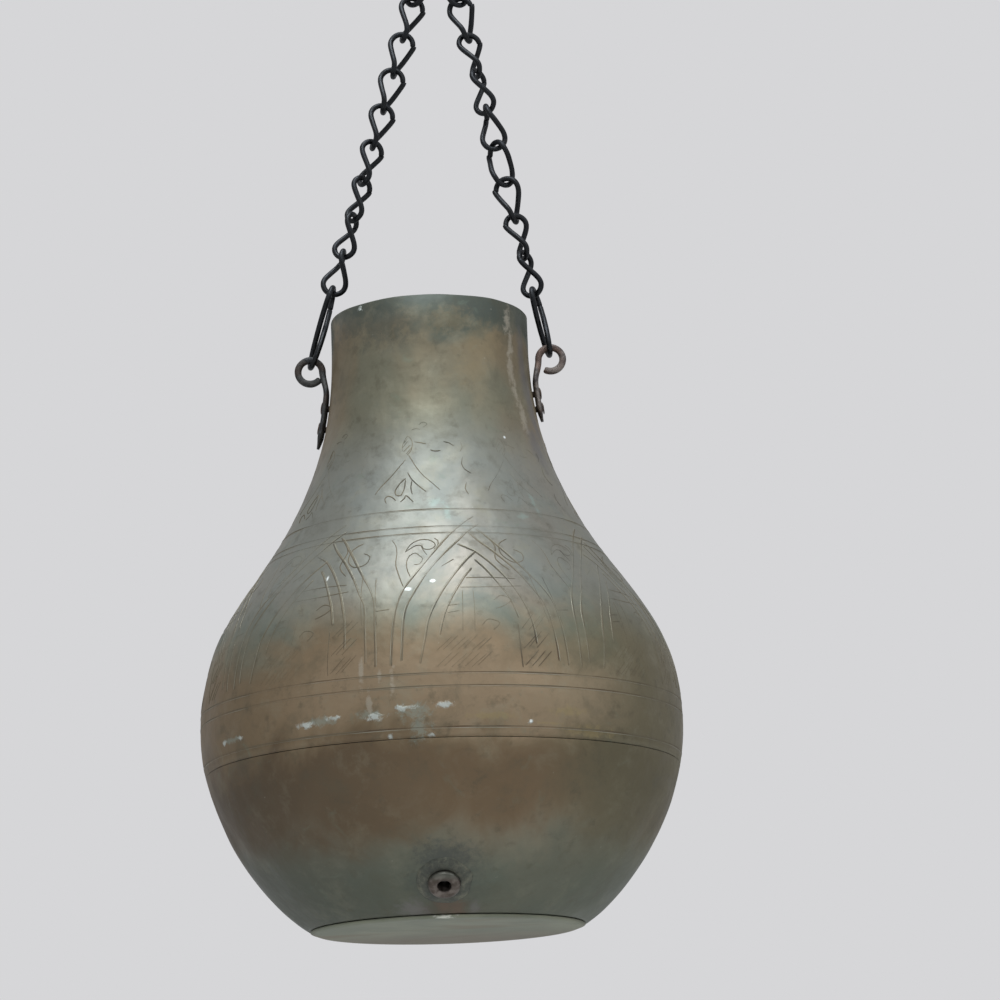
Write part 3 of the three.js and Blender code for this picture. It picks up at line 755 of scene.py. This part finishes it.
LINK_REST = WIRE_RADIUS + LINK_SLACK / 2
LINK_HALF = LINK_PITCH / 2 + LINK_REST
RING_CENTRE = Vector((0, 0, RING_ROD_RADIUS - RING_RADIUS))
RING_REACH = RING_RADIUS - RING_ROD_RADIUS - LINK_SLACK / 2
EYE_REST = EYE_ROD_RADIUS + WIRE_RADIUS + LINK_SLACK


def twisted_link():
    """Points along a link: a ring drawn long, pinched, twisted a quarter turn and cut open."""
    loop = 2 * pi * LINK_LOBE_RADIUS + 4 * (LINK_HALF - LINK_LOBE_RADIUS)
    cut = LINK_END_GAP / (2 * loop)
    shoulder = LINK_HALF - LINK_LOBE_RADIUS
    points = []
    for i in range(ALONG_LINK + 1):
        turn = 2 * pi * (LINK_CUT_PLACE + cut + (1 - 2 * cut) * i / ALONG_LINK)
        height = LINK_HALF * cos(turn)
        above = abs(height) - shoulder
        if above > 0:
            side = sqrt(max(0, LINK_LOBE_RADIUS ** 2 - above ** 2))
        else:
            narrowing = (1 - cos(pi * min(1, abs(height) / shoulder))) / 2
            side = between(LINK_WAIST_RADIUS, LINK_LOBE_RADIUS, narrowing)
        reach = copysign(side, sin(turn))
        share = max(-1, min(1, height / LINK_TWIST_REACH))
        twist = pi / 4 * (1 - sin(pi / 2 * share))
        points.append(Vector((reach * cos(twist), reach * sin(twist), height)))
    return points


def end_link(half):
    """Points along the longer link at a lug: a narrow figure of eight, crossing at the middle."""
    loop = 4.5 * half
    cut = LINK_END_GAP / (2 * loop)
    strand = WIRE_RADIUS + CLEAR / 2
    steps = ALONG_LINK * 2
    points = []
    for i in range(steps + 1):
        turn = 2 * pi * (LINK_CUT_PLACE + cut + (1 - 2 * cut) * i / steps)
        across = END_LOBE_RADIUS * sin(2 * turn)
        points.append(Vector((strand * sin(turn), across, half * cos(turn))))
    return points


def chain_line(side):
    """Matrix from a chain's own millimetres, with Z up it from the ring's centre, to the frame."""
    joint = next(j for j in frame["joints"] if j["name"] == f"{side}_end_link_swing")
    up, back = (RING_CENTRE - Vector(joint["pos_m"]) / MM).normalized(), Vector((0, 1, 0))
    return ROW @ Matrix.Translation(RING_CENTRE) @ facing(back.cross(up), back, up)


def chain(side, material):
    """Nine twisted links and the longer end link of one side, each hung at its own roll."""
    line = chain_line(side)
    shape = twisted_link()

    def hang(bm, node, drop, roll):
        turn = Matrix.Rotation(radians(roll), 4, "Z")
        place = line @ Matrix.Translation((0, 0, -drop)) @ turn
        piece(f"wire_{node}", bm, place, node, material, "black_wire", node)

    for index, roll in enumerate(ROLLS[side]):
        patch = Vector((index * 5, roll, 0))
        bend = [p + WIRE_BEND * noise.noise_vector(p / 9 + patch) for p in shape]
        for i in range(SPLAY_STEPS):
            bend[i] += bend[i].normalized() * LINK_END_SPLAY * (1 - i / SPLAY_STEPS) ** 2
        drop = RING_REACH + (index + 0.5) * LINK_PITCH
        hang(wire(bend, Vector((0, 0, 1))), f"{side}_link_{index + 1}", drop, roll)
    half = (END_PITCH[side] + LINK_REST + EYE_REST) / 2
    drop = RING_REACH + len(ROLLS[side]) * LINK_PITCH - LINK_REST + half
    hang(wire(end_link(half), Vector((0, 1, 0))), f"{side}_end_link", drop, END_ROLL[side])


def hanging_ring(material):
    """The round ring at the top, its plane across the pot."""
    stations = []
    for i in range(AROUND_RING):
        turn = 2 * pi * i / AROUND_RING
        out = Vector((sin(turn), 0, cos(turn)))
        along = Vector((cos(turn), 0, -sin(turn)))
        stations.append(station(out * RING_RADIUS, along, out, RING_ROD_RADIUS, RING_ROD_RADIUS))
    bm = swept(round_section(AROUND_RING_ROD), stations, closed=True)
    place = ROW @ Matrix.Translation(RING_CENTRE)
    piece("wire_ring", bm, place, "ring", material, "black_wire", "hanging_ring")


# Materials

# Bands of tone, painted light and painted shade on the copper, in millimetres: where each starts,
# is full, fades and has faded
BROWN_BELLY = (24, 52, 118, 152)
DARK_BOWL = (26, 50, 68, 84)
WARM_NECK = (225, 252, 296, 310)
# the shoulder's paler grey tone, partly painted light
SHOULDER_TONE_AND_LIGHT = (130, 165, 222, 262)
# painted light on the belly round the lap, only across the front
PAINTED_LIGHT_BELLY = (78, 92, 106, 130)
PAINTED_LIGHT_FRONT = (-95, -40, 70, 105)
GREEN_SIDE = (35, 85)
GREEN_FOOT = (12, 44)
DARK_RIM = (296, 311)
# painted shade on the lower bowl: across it, strongest at the left, and the heights where it fades
# out
PAINTED_SHADE_ACROSS = (-105, 30)
PAINTED_SHADE_FADES = (62, 92)
BAND_RAGGED = 60

# Marks on the copper, some of them painted light and painted shade, laid one over another: how
# strong, what colour and which spots. A spot is degrees from the front, height, half width, half
# height and, if unusual, raggedness and share
NECK_MARKS = {
    "soot": (0.55, (74, 80, 74), (
        (-25, 302, 20, 13, 0.6), (-2, 314, 20, 5, 0.6), (30, 309, 14, 6, 0.6),
        (-50, 306, 16, 8, 0.6))),
    "amber": (0.38, (134, 118, 88), (
        (13, 302, 15, 8, 0.6), (32, 292, 13, 12, 0.6), (24, 276, 10, 10, 0.6))),
}
SKIN_MARKS = {
    "ochre": (0.45, (156, 138, 96), (
        (31.4, 92, 11, 2), (36.9, 83, 13, 2.6), (25.5, 86, 7, 0.8), (12, 89, 12, 1.6))),
    "bloom": (0.42, (146, 162, 152), (
        (-5.3, 92, 9, 4), (-4.3, 84, 5, 6), (-16, 91.5, 6, 2), (-27, 90.6, 9, 2),
        (-57, 89.5, 9, 1.4), (0.7, 202, 3.4, 2.6), (41.2, 204, 1.6, 8), (5, 196, 1.6, 4),
        (33, 196, 3, 2))),
    # pale drips on the belly, and a painted highlight along a crease on the right of the neck
    "drips_and_crease_highlight": (0.6, (176, 166, 148), (
        (-17.2, 112, 1.2, 8), (-15.4, 96, 1.2, 6), (-10, 108, 1.1, 8), (-13, 110, 0.9, 4),
        (52, 306, 2.6, 8), (54, 294, 2.2, 9), (52.5, 281, 2.6, 9), (54, 268, 2.2, 9),
        (57, 255, 3, 9))),
    # painted shade beside that crease, grey-violet
    "mauve_crease_shade": (0.5, (106, 104, 108), (
        (66, 285, 5, 24, 0.3), (70, 262, 6, 24, 0.3), (62, 240, 7, 14, 0.4))),
    "solder": (0.85, (198, 202, 194), (
        (-31.5, 89.6, 5, 1.5), (-24.2, 91.4, 3.6, 1.1), (-53, 89.5, 2, 1), (-60.7, 89.4, 2, 1),
        (-14.6, 90, 4, 1.6), (-7.5, 93.6, 5, 1.3), (1.4, 94.3, 4, 1.4), (21.3, 86.5, 1.6, 1.3),
        (-1.9, 80.4, 2, 1), (-11.1, 80.6, 1.2, 1), (-42.1, 313, 1.5, 1.6))),
    # painted glints: small white highlights on the shoulder, the neck and a solder spot
    "bright": (1, (236, 238, 232), (
        (-0.4, 156.8, 1.5, 1, 0.2), (-6.8, 152.8, 2.2, 1, 0.3), (37.9, 241, 0.8, 0.8, 0.1),
        (-30.3, 163.3, 0.7, 1.6, 0.2), (21.3, 86.5, 1, 0.8, 0.1))),
    # darker round the spout and above it
    "dark_round_spout": (1, (66, 70, 68), (
        (0, SPOUT_HEIGHT, SPOUT_COLLAR_RADIUS + 6, SPOUT_COLLAR_RADIUS + 3, 0.4, 0.45),
        (1, SPOUT_HEIGHT + 10, 17, 9, 0.5, 0.65))),
    "stain": (0.6, (80, 68, 54), ((0.4, 4, 16, 4, 0.5), (0, 8, 5, 4, 0.4))),
    "lead": (0.5, (122, 116, 114), ((-12, 4, 8, 5, 0.5), (11, 4, 3, 3, 0.5))),
    "rust": (0.5, (116, 94, 78), ((0, 7, 5, 8, 0.5), (4, 3, 6, 6, 0.5))),
}
SPOT_DEPTH = 25


class Finish:
    """A material whose colour is laid on in layers, with patterns in the pot's or frame's space."""

    def __init__(self, name, place=None):
        self.material = bpy.data.materials.new(name)
        self.material.use_nodes = True
        self.tree = self.material.node_tree
        coords = self.tree.nodes.new("ShaderNodeTexCoord")
        self.place = self.mapping(coords.outputs["Object"], vector_type="TEXTURE")
        if place:
            self.place.inputs["Location"].default_value = place.to_translation()
            self.place.inputs["Rotation"].default_value = place.to_euler()

    def node(self, kind, **settings):
        """A node whose settings are its own fields, or inputs by name or as i0, i1 and so on."""
        made = self.tree.nodes.new(kind)
        for name, value in settings.items():
            if name[0] == "i" and name[1:].isdigit():
                self.feed(made.inputs[int(name[1:])], value)
            elif name[0].isupper():
                self.feed(made.inputs[name.replace("_", " ")], value)
            else:
                setattr(made, name, value)
        return made

    def feed(self, socket, value):
        """Joins a node or socket to an input, or sets the input to a value."""
        if isinstance(value, bpy.types.Node):
            value = value.outputs[0]
        if isinstance(value, bpy.types.NodeSocket):
            self.tree.links.new(value, socket)
        else:
            socket.default_value = value

    def mapping(self, vector, **settings):
        return self.node("ShaderNodeMapping", Vector=vector, **settings)

    def noise(self, scale, detail, roughness, distortion=0.0, stretch=(1, 1, 1), shift=(0, 0, 0)):
        vector = self.mapping(self.place, Scale=stretch, Location=shift)
        return self.node("ShaderNodeTexNoise", Vector=vector, Scale=scale, Detail=detail,
                         Roughness=roughness, Distortion=distortion)

    def ramp(self, value, low, high, bottom=0.0, top=1.0):
        """A smooth change from bottom to top as a value goes from low to high."""
        return self.node("ShaderNodeMapRange", interpolation_type="SMOOTHSTEP", Value=value,
                         From_Min=low, From_Max=high, To_Min=bottom, To_Max=top)

    def band(self, value, start, full, fading, faded):
        """A share that rises as a value grows, stays full and falls again."""
        return self.times(self.ramp(value, start, full), self.ramp(value, fading, faded, 1.0, 0.0))

    def math(self, operation, a, b):
        return self.node("ShaderNodeMath", operation=operation, i0=a, i1=b)

    def times(self, a, b):
        return self.math("MULTIPLY", a, b)

    def centred(self, share, reach):
        """A pattern's share turned into a swing to either side of nothing."""
        return self.times(self.math("SUBTRACT", share, 0.5), reach)

    def mix(self, share, a, b):
        made = self.node("ShaderNodeMix", data_type="RGBA", Factor=share)
        self.feed(made.inputs["A"], a)
        self.feed(made.inputs["B"], b)
        return made.outputs["Result"]

    def mottled(self, share, low, high, one, other):
        """Starts the colour as two screen colours that a pattern mixes."""
        self.colour = self.mix(self.ramp(share, low, high), shade(*one), shade(*other))

    def tint(self, share, strength, *tone):
        """Lays a screen colour on, as strongly as is said and where the share says."""
        self.colour = self.mix(self.times(share, strength), self.colour, shade(*tone))

    def along(self, axis):
        """How far a place lies along the pot's own X, Y or Z, in millimetres."""
        metres = self.node("ShaderNodeSeparateXYZ", Vector=self.place).outputs[axis]
        return self.times(metres, 1 / MM)

    @cached_property
    def ragged_edge(self):
        return self.centred(self.noise(260, 6, 0.75, 0.4), 5)

    def spot(self, degrees, height, across, tall, ragged=0.9, full=1.0, depth=SPOT_DEPTH):
        """A share that is full near a spot of the pot's skin and fades out at its ragged edge."""
        angle = radians(degrees)
        from_spot = self.mapping(self.place, vector_type="TEXTURE", Rotation=(0, 0, angle),
                                 Location=skin(angle, height)[0] * MM,
                                 Scale=(across * MM, depth * MM, tall * MM))
        away = self.node("ShaderNodeVectorMath", operation="LENGTH", i0=from_spot).outputs["Value"]
        away = self.math("ADD", away, self.times(self.ragged_edge, ragged))
        return self.ramp(away, 0.2, 1.3, full, 0.0)

    def mark(self, marks):
        """Lays marks on, each as strong as its strongest spot, and gives their shares by name."""
        shares = {}
        for name, (strength, tone, spots) in marks.items():
            share, *others = [self.spot(*spot) for spot in spots]
            for other in others:
                share = self.math("MAXIMUM", share, other)
            self.tint(share, strength, *tone)
            shares[name] = share
        return shares

    def bump(self, value, depth, onto=None):
        made = self.node("ShaderNodeBump", Height=value, Strength=1.0, Distance=depth)
        if onto:
            self.feed(made.inputs["Normal"], onto)
        return made

    def finished(self, metallic, roughness, normal=None):
        """The material, with its colour and these other looks on its shader."""
        inputs = self.tree.nodes["Principled BSDF"].inputs
        self.feed(inputs["Base Color"], self.colour)
        self.feed(inputs["Metallic"], metallic)
        self.feed(inputs["Roughness"], roughness)
        if normal:
            self.feed(inputs["Normal"], normal)
        return self.material


def shade(red, green, blue):
    """A colour given as it looks on a screen, 0 to 255, for a material's socket."""
    def linear(value):
        value /= 255
        return value / 12.92 if value <= 0.04045 else ((value + 0.055) / 1.055) ** 2.4
    return (linear(red), linear(green), linear(blue), 1.0)


def pot_finish(name):
    """A material with its patterns in the pot's own metres, upright on its foot."""
    place, turn, _ = POT.decompose()
    return Finish(name, Matrix.Translation(place) @ turn.to_matrix().to_4x4())


def aged_copper():
    """The pot's skin: olive and brown copper with bands of tone, patina, old solder and soot, with
    painted light, painted shade and painted glints laid in.
    """
    f = pot_finish("aged_copper")
    height, side = f.along("Z"), f.along("X")
    wide = f.noise(9, 4, 0.55, 0.4, stretch=(1, 1, 0.6))
    cloudy = f.noise(22, 5, 0.6, 0.6, shift=(3, 1, 0))
    mottle = f.noise(48, 6, 0.7, 0.3, shift=(5, 5, 1))
    green = f.noise(70, 4, 0.6, 1.2, shift=(9, 2, 5))
    fine = f.noise(120, 6, 0.65)
    speck = f.noise(340, 3, 0.6)
    ragged = f.math("ADD", height, f.centred(cloudy, BAND_RAGGED))
    f.mottled(wide, 0.38, 0.62, (116, 116, 98), (134, 124, 104))
    f.tint(f.ramp(cloudy, 0.44, 0.66), 1, 110, 114, 100)
    f.tint(f.band(ragged, *BROWN_BELLY), 0.85, 130, 108, 80)
    f.tint(f.band(ragged, *DARK_BOWL), 0.6, 108, 86, 62)
    f.tint(f.times(f.ramp(side, *GREEN_SIDE), f.ramp(wide, 0.3, 0.6)), 0.55, 100, 102, 80)
    f.tint(f.times(f.band(ragged, *WARM_NECK), f.ramp(wide, 0.36, 0.56, 0.2, 0.9)), 1, 128, 112, 86)
    f.tint(f.ramp(ragged, *DARK_RIM), 0.9, 76, 80, 70)
    f.mark(NECK_MARKS)
    f.tint(f.ramp(ragged, *GREEN_FOOT, 1.0, 0.0), 0.8, 92, 96, 82)
    # the shoulder's paler grey tone with painted light, painted light on the front of the belly
    # round the lap, and painted shade on the bowl, most of all at its left
    f.tint(f.band(height, *SHOULDER_TONE_AND_LIGHT), 0.28, 164, 162, 162)
    f.tint(f.times(f.band(ragged, *PAINTED_LIGHT_BELLY), f.band(side, *PAINTED_LIGHT_FRONT)), 0.42, 172, 150, 122)
    painted_shade = f.times(f.ramp(side, *PAINTED_SHADE_ACROSS, 0.52, 0.08), f.ramp(ragged, *PAINTED_SHADE_FADES, 1.0, 0.0))
    f.tint(painted_shade, 1, 52, 50, 42)
    # mottling, dark pits, verdigris and worn bright points
    upper = f.ramp(height, 60, 90, 0.45, 1.0)
    f.tint(f.times(f.ramp(mottle, 0.5, 0.7), upper), 0.35, 146, 140, 118)
    f.tint(f.ramp(mottle, 0.5, 0.3), 0.35, 88, 84, 68)
    f.tint(f.ramp(fine, 0.54, 0.72), 0.4, 84, 78, 62)
    f.tint(f.times(f.ramp(green, 0.62, 0.74), upper), 0.3, 114, 126, 108)
    f.tint(f.ramp(speck, 0.72, 0.80), 0.4, 172, 168, 150)
    # lays the marks, painted glints and the crease's painted light and shade among them
    solder = f.mark(SKIN_MARKS)["solder"]
    # painted shade: the pot's inside is darkened where it is marked
    f.tint(f.node("ShaderNodeAttribute", attribute_name="inside_shade").outputs["Fac"], 1, 40, 36, 30)
    beat = f.bump(f.noise(85, 2, 0.5), 0.0005)
    grain = f.bump(fine, 0.00012, f.bump(solder, 0.0003, beat))
    return f.finished(0.6, f.ramp(cloudy, 0.3, 0.7, 0.42, 0.57), grain)


def cut_copper():
    """Old dirt in the cut lines."""
    f = pot_finish("cut_copper")
    side = f.along("X")
    f.mottled(f.along("Z"), 115, 135, (88, 68, 50), (72, 68, 56))
    faded = f.ramp(f.noise(34, 4, 0.6), 0.36, 0.56)
    edge = f.math("ADD", f.ramp(side, -85, -30, 0.85, 0.0), f.ramp(side, 60, 100, 0.0, 0.7))
    f.tint(f.math("MAXIMUM", faded, edge), 1, 116, 106, 86)
    return f.finished(0.5, 0.6)


def burr_highlight_copper():
    """The pale edge beside a cut line: a painted highlight on the cut's polished burr."""
    f = pot_finish("burr_highlight_copper")
    f.mottled(f.noise(34, 4, 0.6), 0.42, 0.62, (156, 150, 132), (122, 116, 98))
    return f.finished(0.6, 0.45)


def foot_copper():
    """The foot's disc: grey green and streaked, browner at the back, chipped bright in front."""
    f = pot_finish("foot_copper")
    f.mottled(f.noise(26, 5, 0.6, 0.5), 0.35, 0.65, (116, 118, 100), (132, 132, 112))
    f.tint(f.ramp(f.noise(14, 4, 0.5, 0.3, stretch=(1, 3, 1)), 0.50, 0.66), 0.6, 112, 98, 76)
    f.tint(f.ramp(f.along("Y"), -10, 55), 0.7, 114, 100, 84)
    f.tint(f.spot(-0.4, 0.4, 5, 6, depth=2.6), 1, 206, 204, 190)
    return f.finished(0.5, 0.55, f.bump(f.noise(160, 5, 0.6), 0.0001))


def grey_solder():
    """The spout's collar, with painted shade darkest round the lip and lighter towards its edge."""
    f = pot_finish("grey_solder")
    f.mottled(f.noise(180, 5, 0.65), 0.36, 0.66, (84, 86, 76), (118, 116, 98))
    # painted shade round the lip, fading out towards the collar's edge
    inner = f.spot(0, SPOUT_HEIGHT, SPOUT_COLLAR_RADIUS, SPOUT_COLLAR_RADIUS, 0.5, 0.9)
    f.tint(inner, 1, 62, 62, 56)
    return f.finished(0.4, 0.6, f.bump(f.noise(420, 4, 0.6), 0.0002))


def spout_brown():
    f = pot_finish("spout_brown")
    f.mottled(f.noise(240, 5, 0.6), 0.38, 0.64, (76, 66, 58), (116, 106, 98))
    f.tint(f.ramp(f.along("Z"), 14.5, 17.5), 0.7, 96, 98, 88)
    return f.finished(0.7, 0.38, f.bump(f.noise(500, 4, 0.6), 0.00015))


def forged_iron(name, dark, light, rust):
    """Hammered iron, mottled from dark to light, with patches of rust."""
    f = Finish(name)
    cloudy = f.noise(150, 6, 0.65, 0.4)
    f.mottled(cloudy, 0.38, 0.66, dark, light)
    f.tint(f.ramp(f.noise(60, 4, 0.5, 0.6, shift=(1, 4, 2)), 0.5, 0.64), 0.7, *rust)
    grain = f.bump(f.noise(900, 5, 0.7), 0.00012, f.bump(f.noise(220, 3, 0.5), 0.0004))
    return f.finished(0.5, f.ramp(cloudy, 0.3, 0.7, 0.5, 0.7), grain)


def black_wire():
    f = Finish("black_wire")
    cloudy = f.noise(260, 5, 0.6)
    f.mottled(cloudy, 0.4, 0.7, (7, 8, 10), (20, 22, 26))
    rough = f.ramp(cloudy, 0.3, 0.7, 0.36, 0.55)
    return f.finished(0.35, rough, f.bump(f.noise(700, 4, 0.6), 0.0001))


def rivet_copper():
    f = Finish("rivet_copper")
    cloudy = f.noise(300, 5, 0.6)
    f.mottled(cloudy, 0.4, 0.65, (74, 62, 54), (112, 92, 78))
    return f.finished(0.6, 0.5, f.bump(cloudy, 0.0002))


# Assembly

def cuts(groups, section, half, shift=0.0):
    """Lines cut along every run of each group, at the group's own share of the full width."""
    return [cut_line(smooth_run(run), section, half * share, shift)
            for runs, share in groups for run in runs]


def ring_cuts(section, half, shift=0.0):
    """Lines cut once round the pot at the height of each ring."""
    return [cut_line(ring_run(height), section, half * RING_LINE_SHARE, shift, closed=True)
            for height in RINGS]


def on_pot(name, bm, material, slot, *replaced, place=POT):
    piece(name, bm, place, "pot", material, slot, *replaced)


copper = aged_copper()
wire_finish = black_wire()
rivet_finish = rivet_copper()

on_pot("beaten_upper_body", raised_body(), copper, "patinated_copper", "upper_body")
on_pot("beaten_lower_bowl", bowl_shell(), copper, "patinated_copper", "lower_bowl")
bold_lines, fine_lines, hatched_lines = ornament()
lines = ((bold_lines, 1), (fine_lines, FINE_LINE_SHARE), (hatched_lines, HATCH_LINE_SHARE))
dark_cuts = cuts(lines, GROOVE, LINE_HALF) + ring_cuts(GROOVE, LINE_HALF)
# pale lines beside the bold cuts and the rings: painted highlights on their burrs
pale_cuts = cuts(lines[:1], BURR, BURR_HALF, BURR_SHIFT) + ring_cuts(BURR, BURR_HALF, -BURR_SHIFT)
on_pot("engraved_lines", engraved(dark_cuts), cut_copper(), "patinated_copper")
on_pot("engraved_burr_highlights", engraved(pale_cuts), burr_highlight_copper(), "patinated_copper")
on_pot("dished_foot", foot_disc(), foot_copper(), "tinned_copper", "base_disc")
spout = POT @ on_front(SPOUT_HEIGHT)
on_pot("soldered_collar", spout_collar(), grey_solder(), "solder_grey", "spout_collar", place=spout)
on_pot("rolled_nozzle", spout_nozzle(), spout_brown(), "patinated_copper", "spout_nozzle",
       place=spout)

lug_finishes = {
    "left_lug": forged_iron("dark_iron", (44, 44, 44), (78, 76, 72), (70, 58, 50)),
    "right_lug": forged_iron("brown_iron", (62, 56, 54), (138, 128, 120), (108, 84, 72)),
}
for lug in (LEFT_LUG, RIGHT_LUG):
    name = lug["name"]
    on_pot(f"forged_{name}", forged_lug(lug), lug_finishes[name], "forged_iron", name)
    for level, drop in zip(("upper", "lower"), lug["rivets"]):
        node = f"{name}_rivet_{level}"
        on_pot(f"headed_{node}", rivet(lug, drop), rivet_finish, "rivet_copper", node)

for side in ("left", "right"):
    chain(side, wire_finish)
hanging_ring(wire_finish)


# Stage

FLOOR_DROP = 0.42
FLOOR_RADIUS = 4.0
ROOM_COLOUR = (0.93, 0.95, 1.0, 1)
ROOM_STRENGTH = 0.43
BACKGROUND = (214, 214, 216)
LIT_HEIGHT = 170
LAMP_COLOUR = (0.84, 0.92, 1.0)
# Lamps: offset in metres from the point that they light, width and power
LAMPS = {
    "overhead": ((-0.11, -0.45, 1.5), 0.8, 19),
    "front_top": ((-0.1, -1.7, 1.5), 1.2, 12),
    "left": ((-1.8, -0.9, 0.4), 1.0, 1.0),
    "right": ((1.4, -1.1, 0.9), 1.3, 8),
}
# Camera: low in front of the pot, looking up at it
FOCAL_IN_WIDTHS = 3.4
SENSOR_WIDTH = 36
CAMERA_BACK = 1700
CAMERA_BELOW_FOOT = 166.8
CAMERA_SIDE = 31.5
CAMERA_PITCH = 12.83
CAMERA_ROLL = -0.4


def floor():
    f = Finish("pale_floor")
    f.colour = shade(232, 232, 230)
    bm = bmesh.new()
    bmesh.ops.create_circle(bm, cap_ends=True, segments=96, radius=FLOOR_RADIUS)
    place = Matrix.Translation(POT.to_translation() - Vector((0, 0, FLOOR_DROP)))
    bmesh.ops.transform(bm, matrix=place, verts=bm.verts)
    added("floor", bm, f.finished(0.0, 0.9))


def studio():
    """An even pale room, and soft lamps above the front and at each side."""
    world = bpy.data.worlds.new("room")
    scene.world = world
    world.use_nodes = True
    nodes, links = world.node_tree.nodes, world.node_tree.links
    room = nodes["Background"]
    room.inputs["Color"].default_value = ROOM_COLOUR
    room.inputs["Strength"].default_value = ROOM_STRENGTH
    seen = nodes.new("ShaderNodeBackground")
    seen.inputs["Color"].default_value = shade(*BACKGROUND)
    rays = nodes.new("ShaderNodeLightPath")
    mixed = nodes.new("ShaderNodeMixShader")
    links.new(rays.outputs["Is Camera Ray"], mixed.inputs[0])
    links.new(room.outputs[0], mixed.inputs[1])
    links.new(seen.outputs[0], mixed.inputs[2])
    links.new(mixed.outputs[0], nodes["World Output"].inputs["Surface"])

    target = POT @ Vector((0, 0, LIT_HEIGHT))
    for name, (offset, width, power) in LAMPS.items():
        lamp = bpy.data.lights.new(name, "AREA")
        lamp.size = width
        lamp.energy = power
        lamp.color = LAMP_COLOUR
        obj = bpy.data.objects.new(name, lamp)
        obj.location = target + Vector(offset)
        obj.rotation_euler = (target - obj.location).to_track_quat("-Z", "Y").to_euler()
        scene.collection.objects.link(obj)


def camera():
    data = bpy.data.cameras.new("camera")
    data.sensor_width = SENSOR_WIDTH
    data.lens = FOCAL_IN_WIDTHS * SENSOR_WIDTH
    data.clip_end = 50
    obj = bpy.data.objects.new("camera", data)
    height = POT.to_translation().z - CAMERA_BELOW_FOOT * MM
    obj.location = (CAMERA_SIDE * MM, -CAMERA_BACK * MM, height)
    look = Matrix.Rotation(radians(90 + CAMERA_PITCH), 4, "X")
    obj.rotation_euler = (look @ Matrix.Rotation(radians(CAMERA_ROLL), 4, "Z")).to_euler()
    scene.collection.objects.link(obj)
    scene.camera = obj


floor()
studio()
camera()
scene.view_settings.view_transform = "Standard"
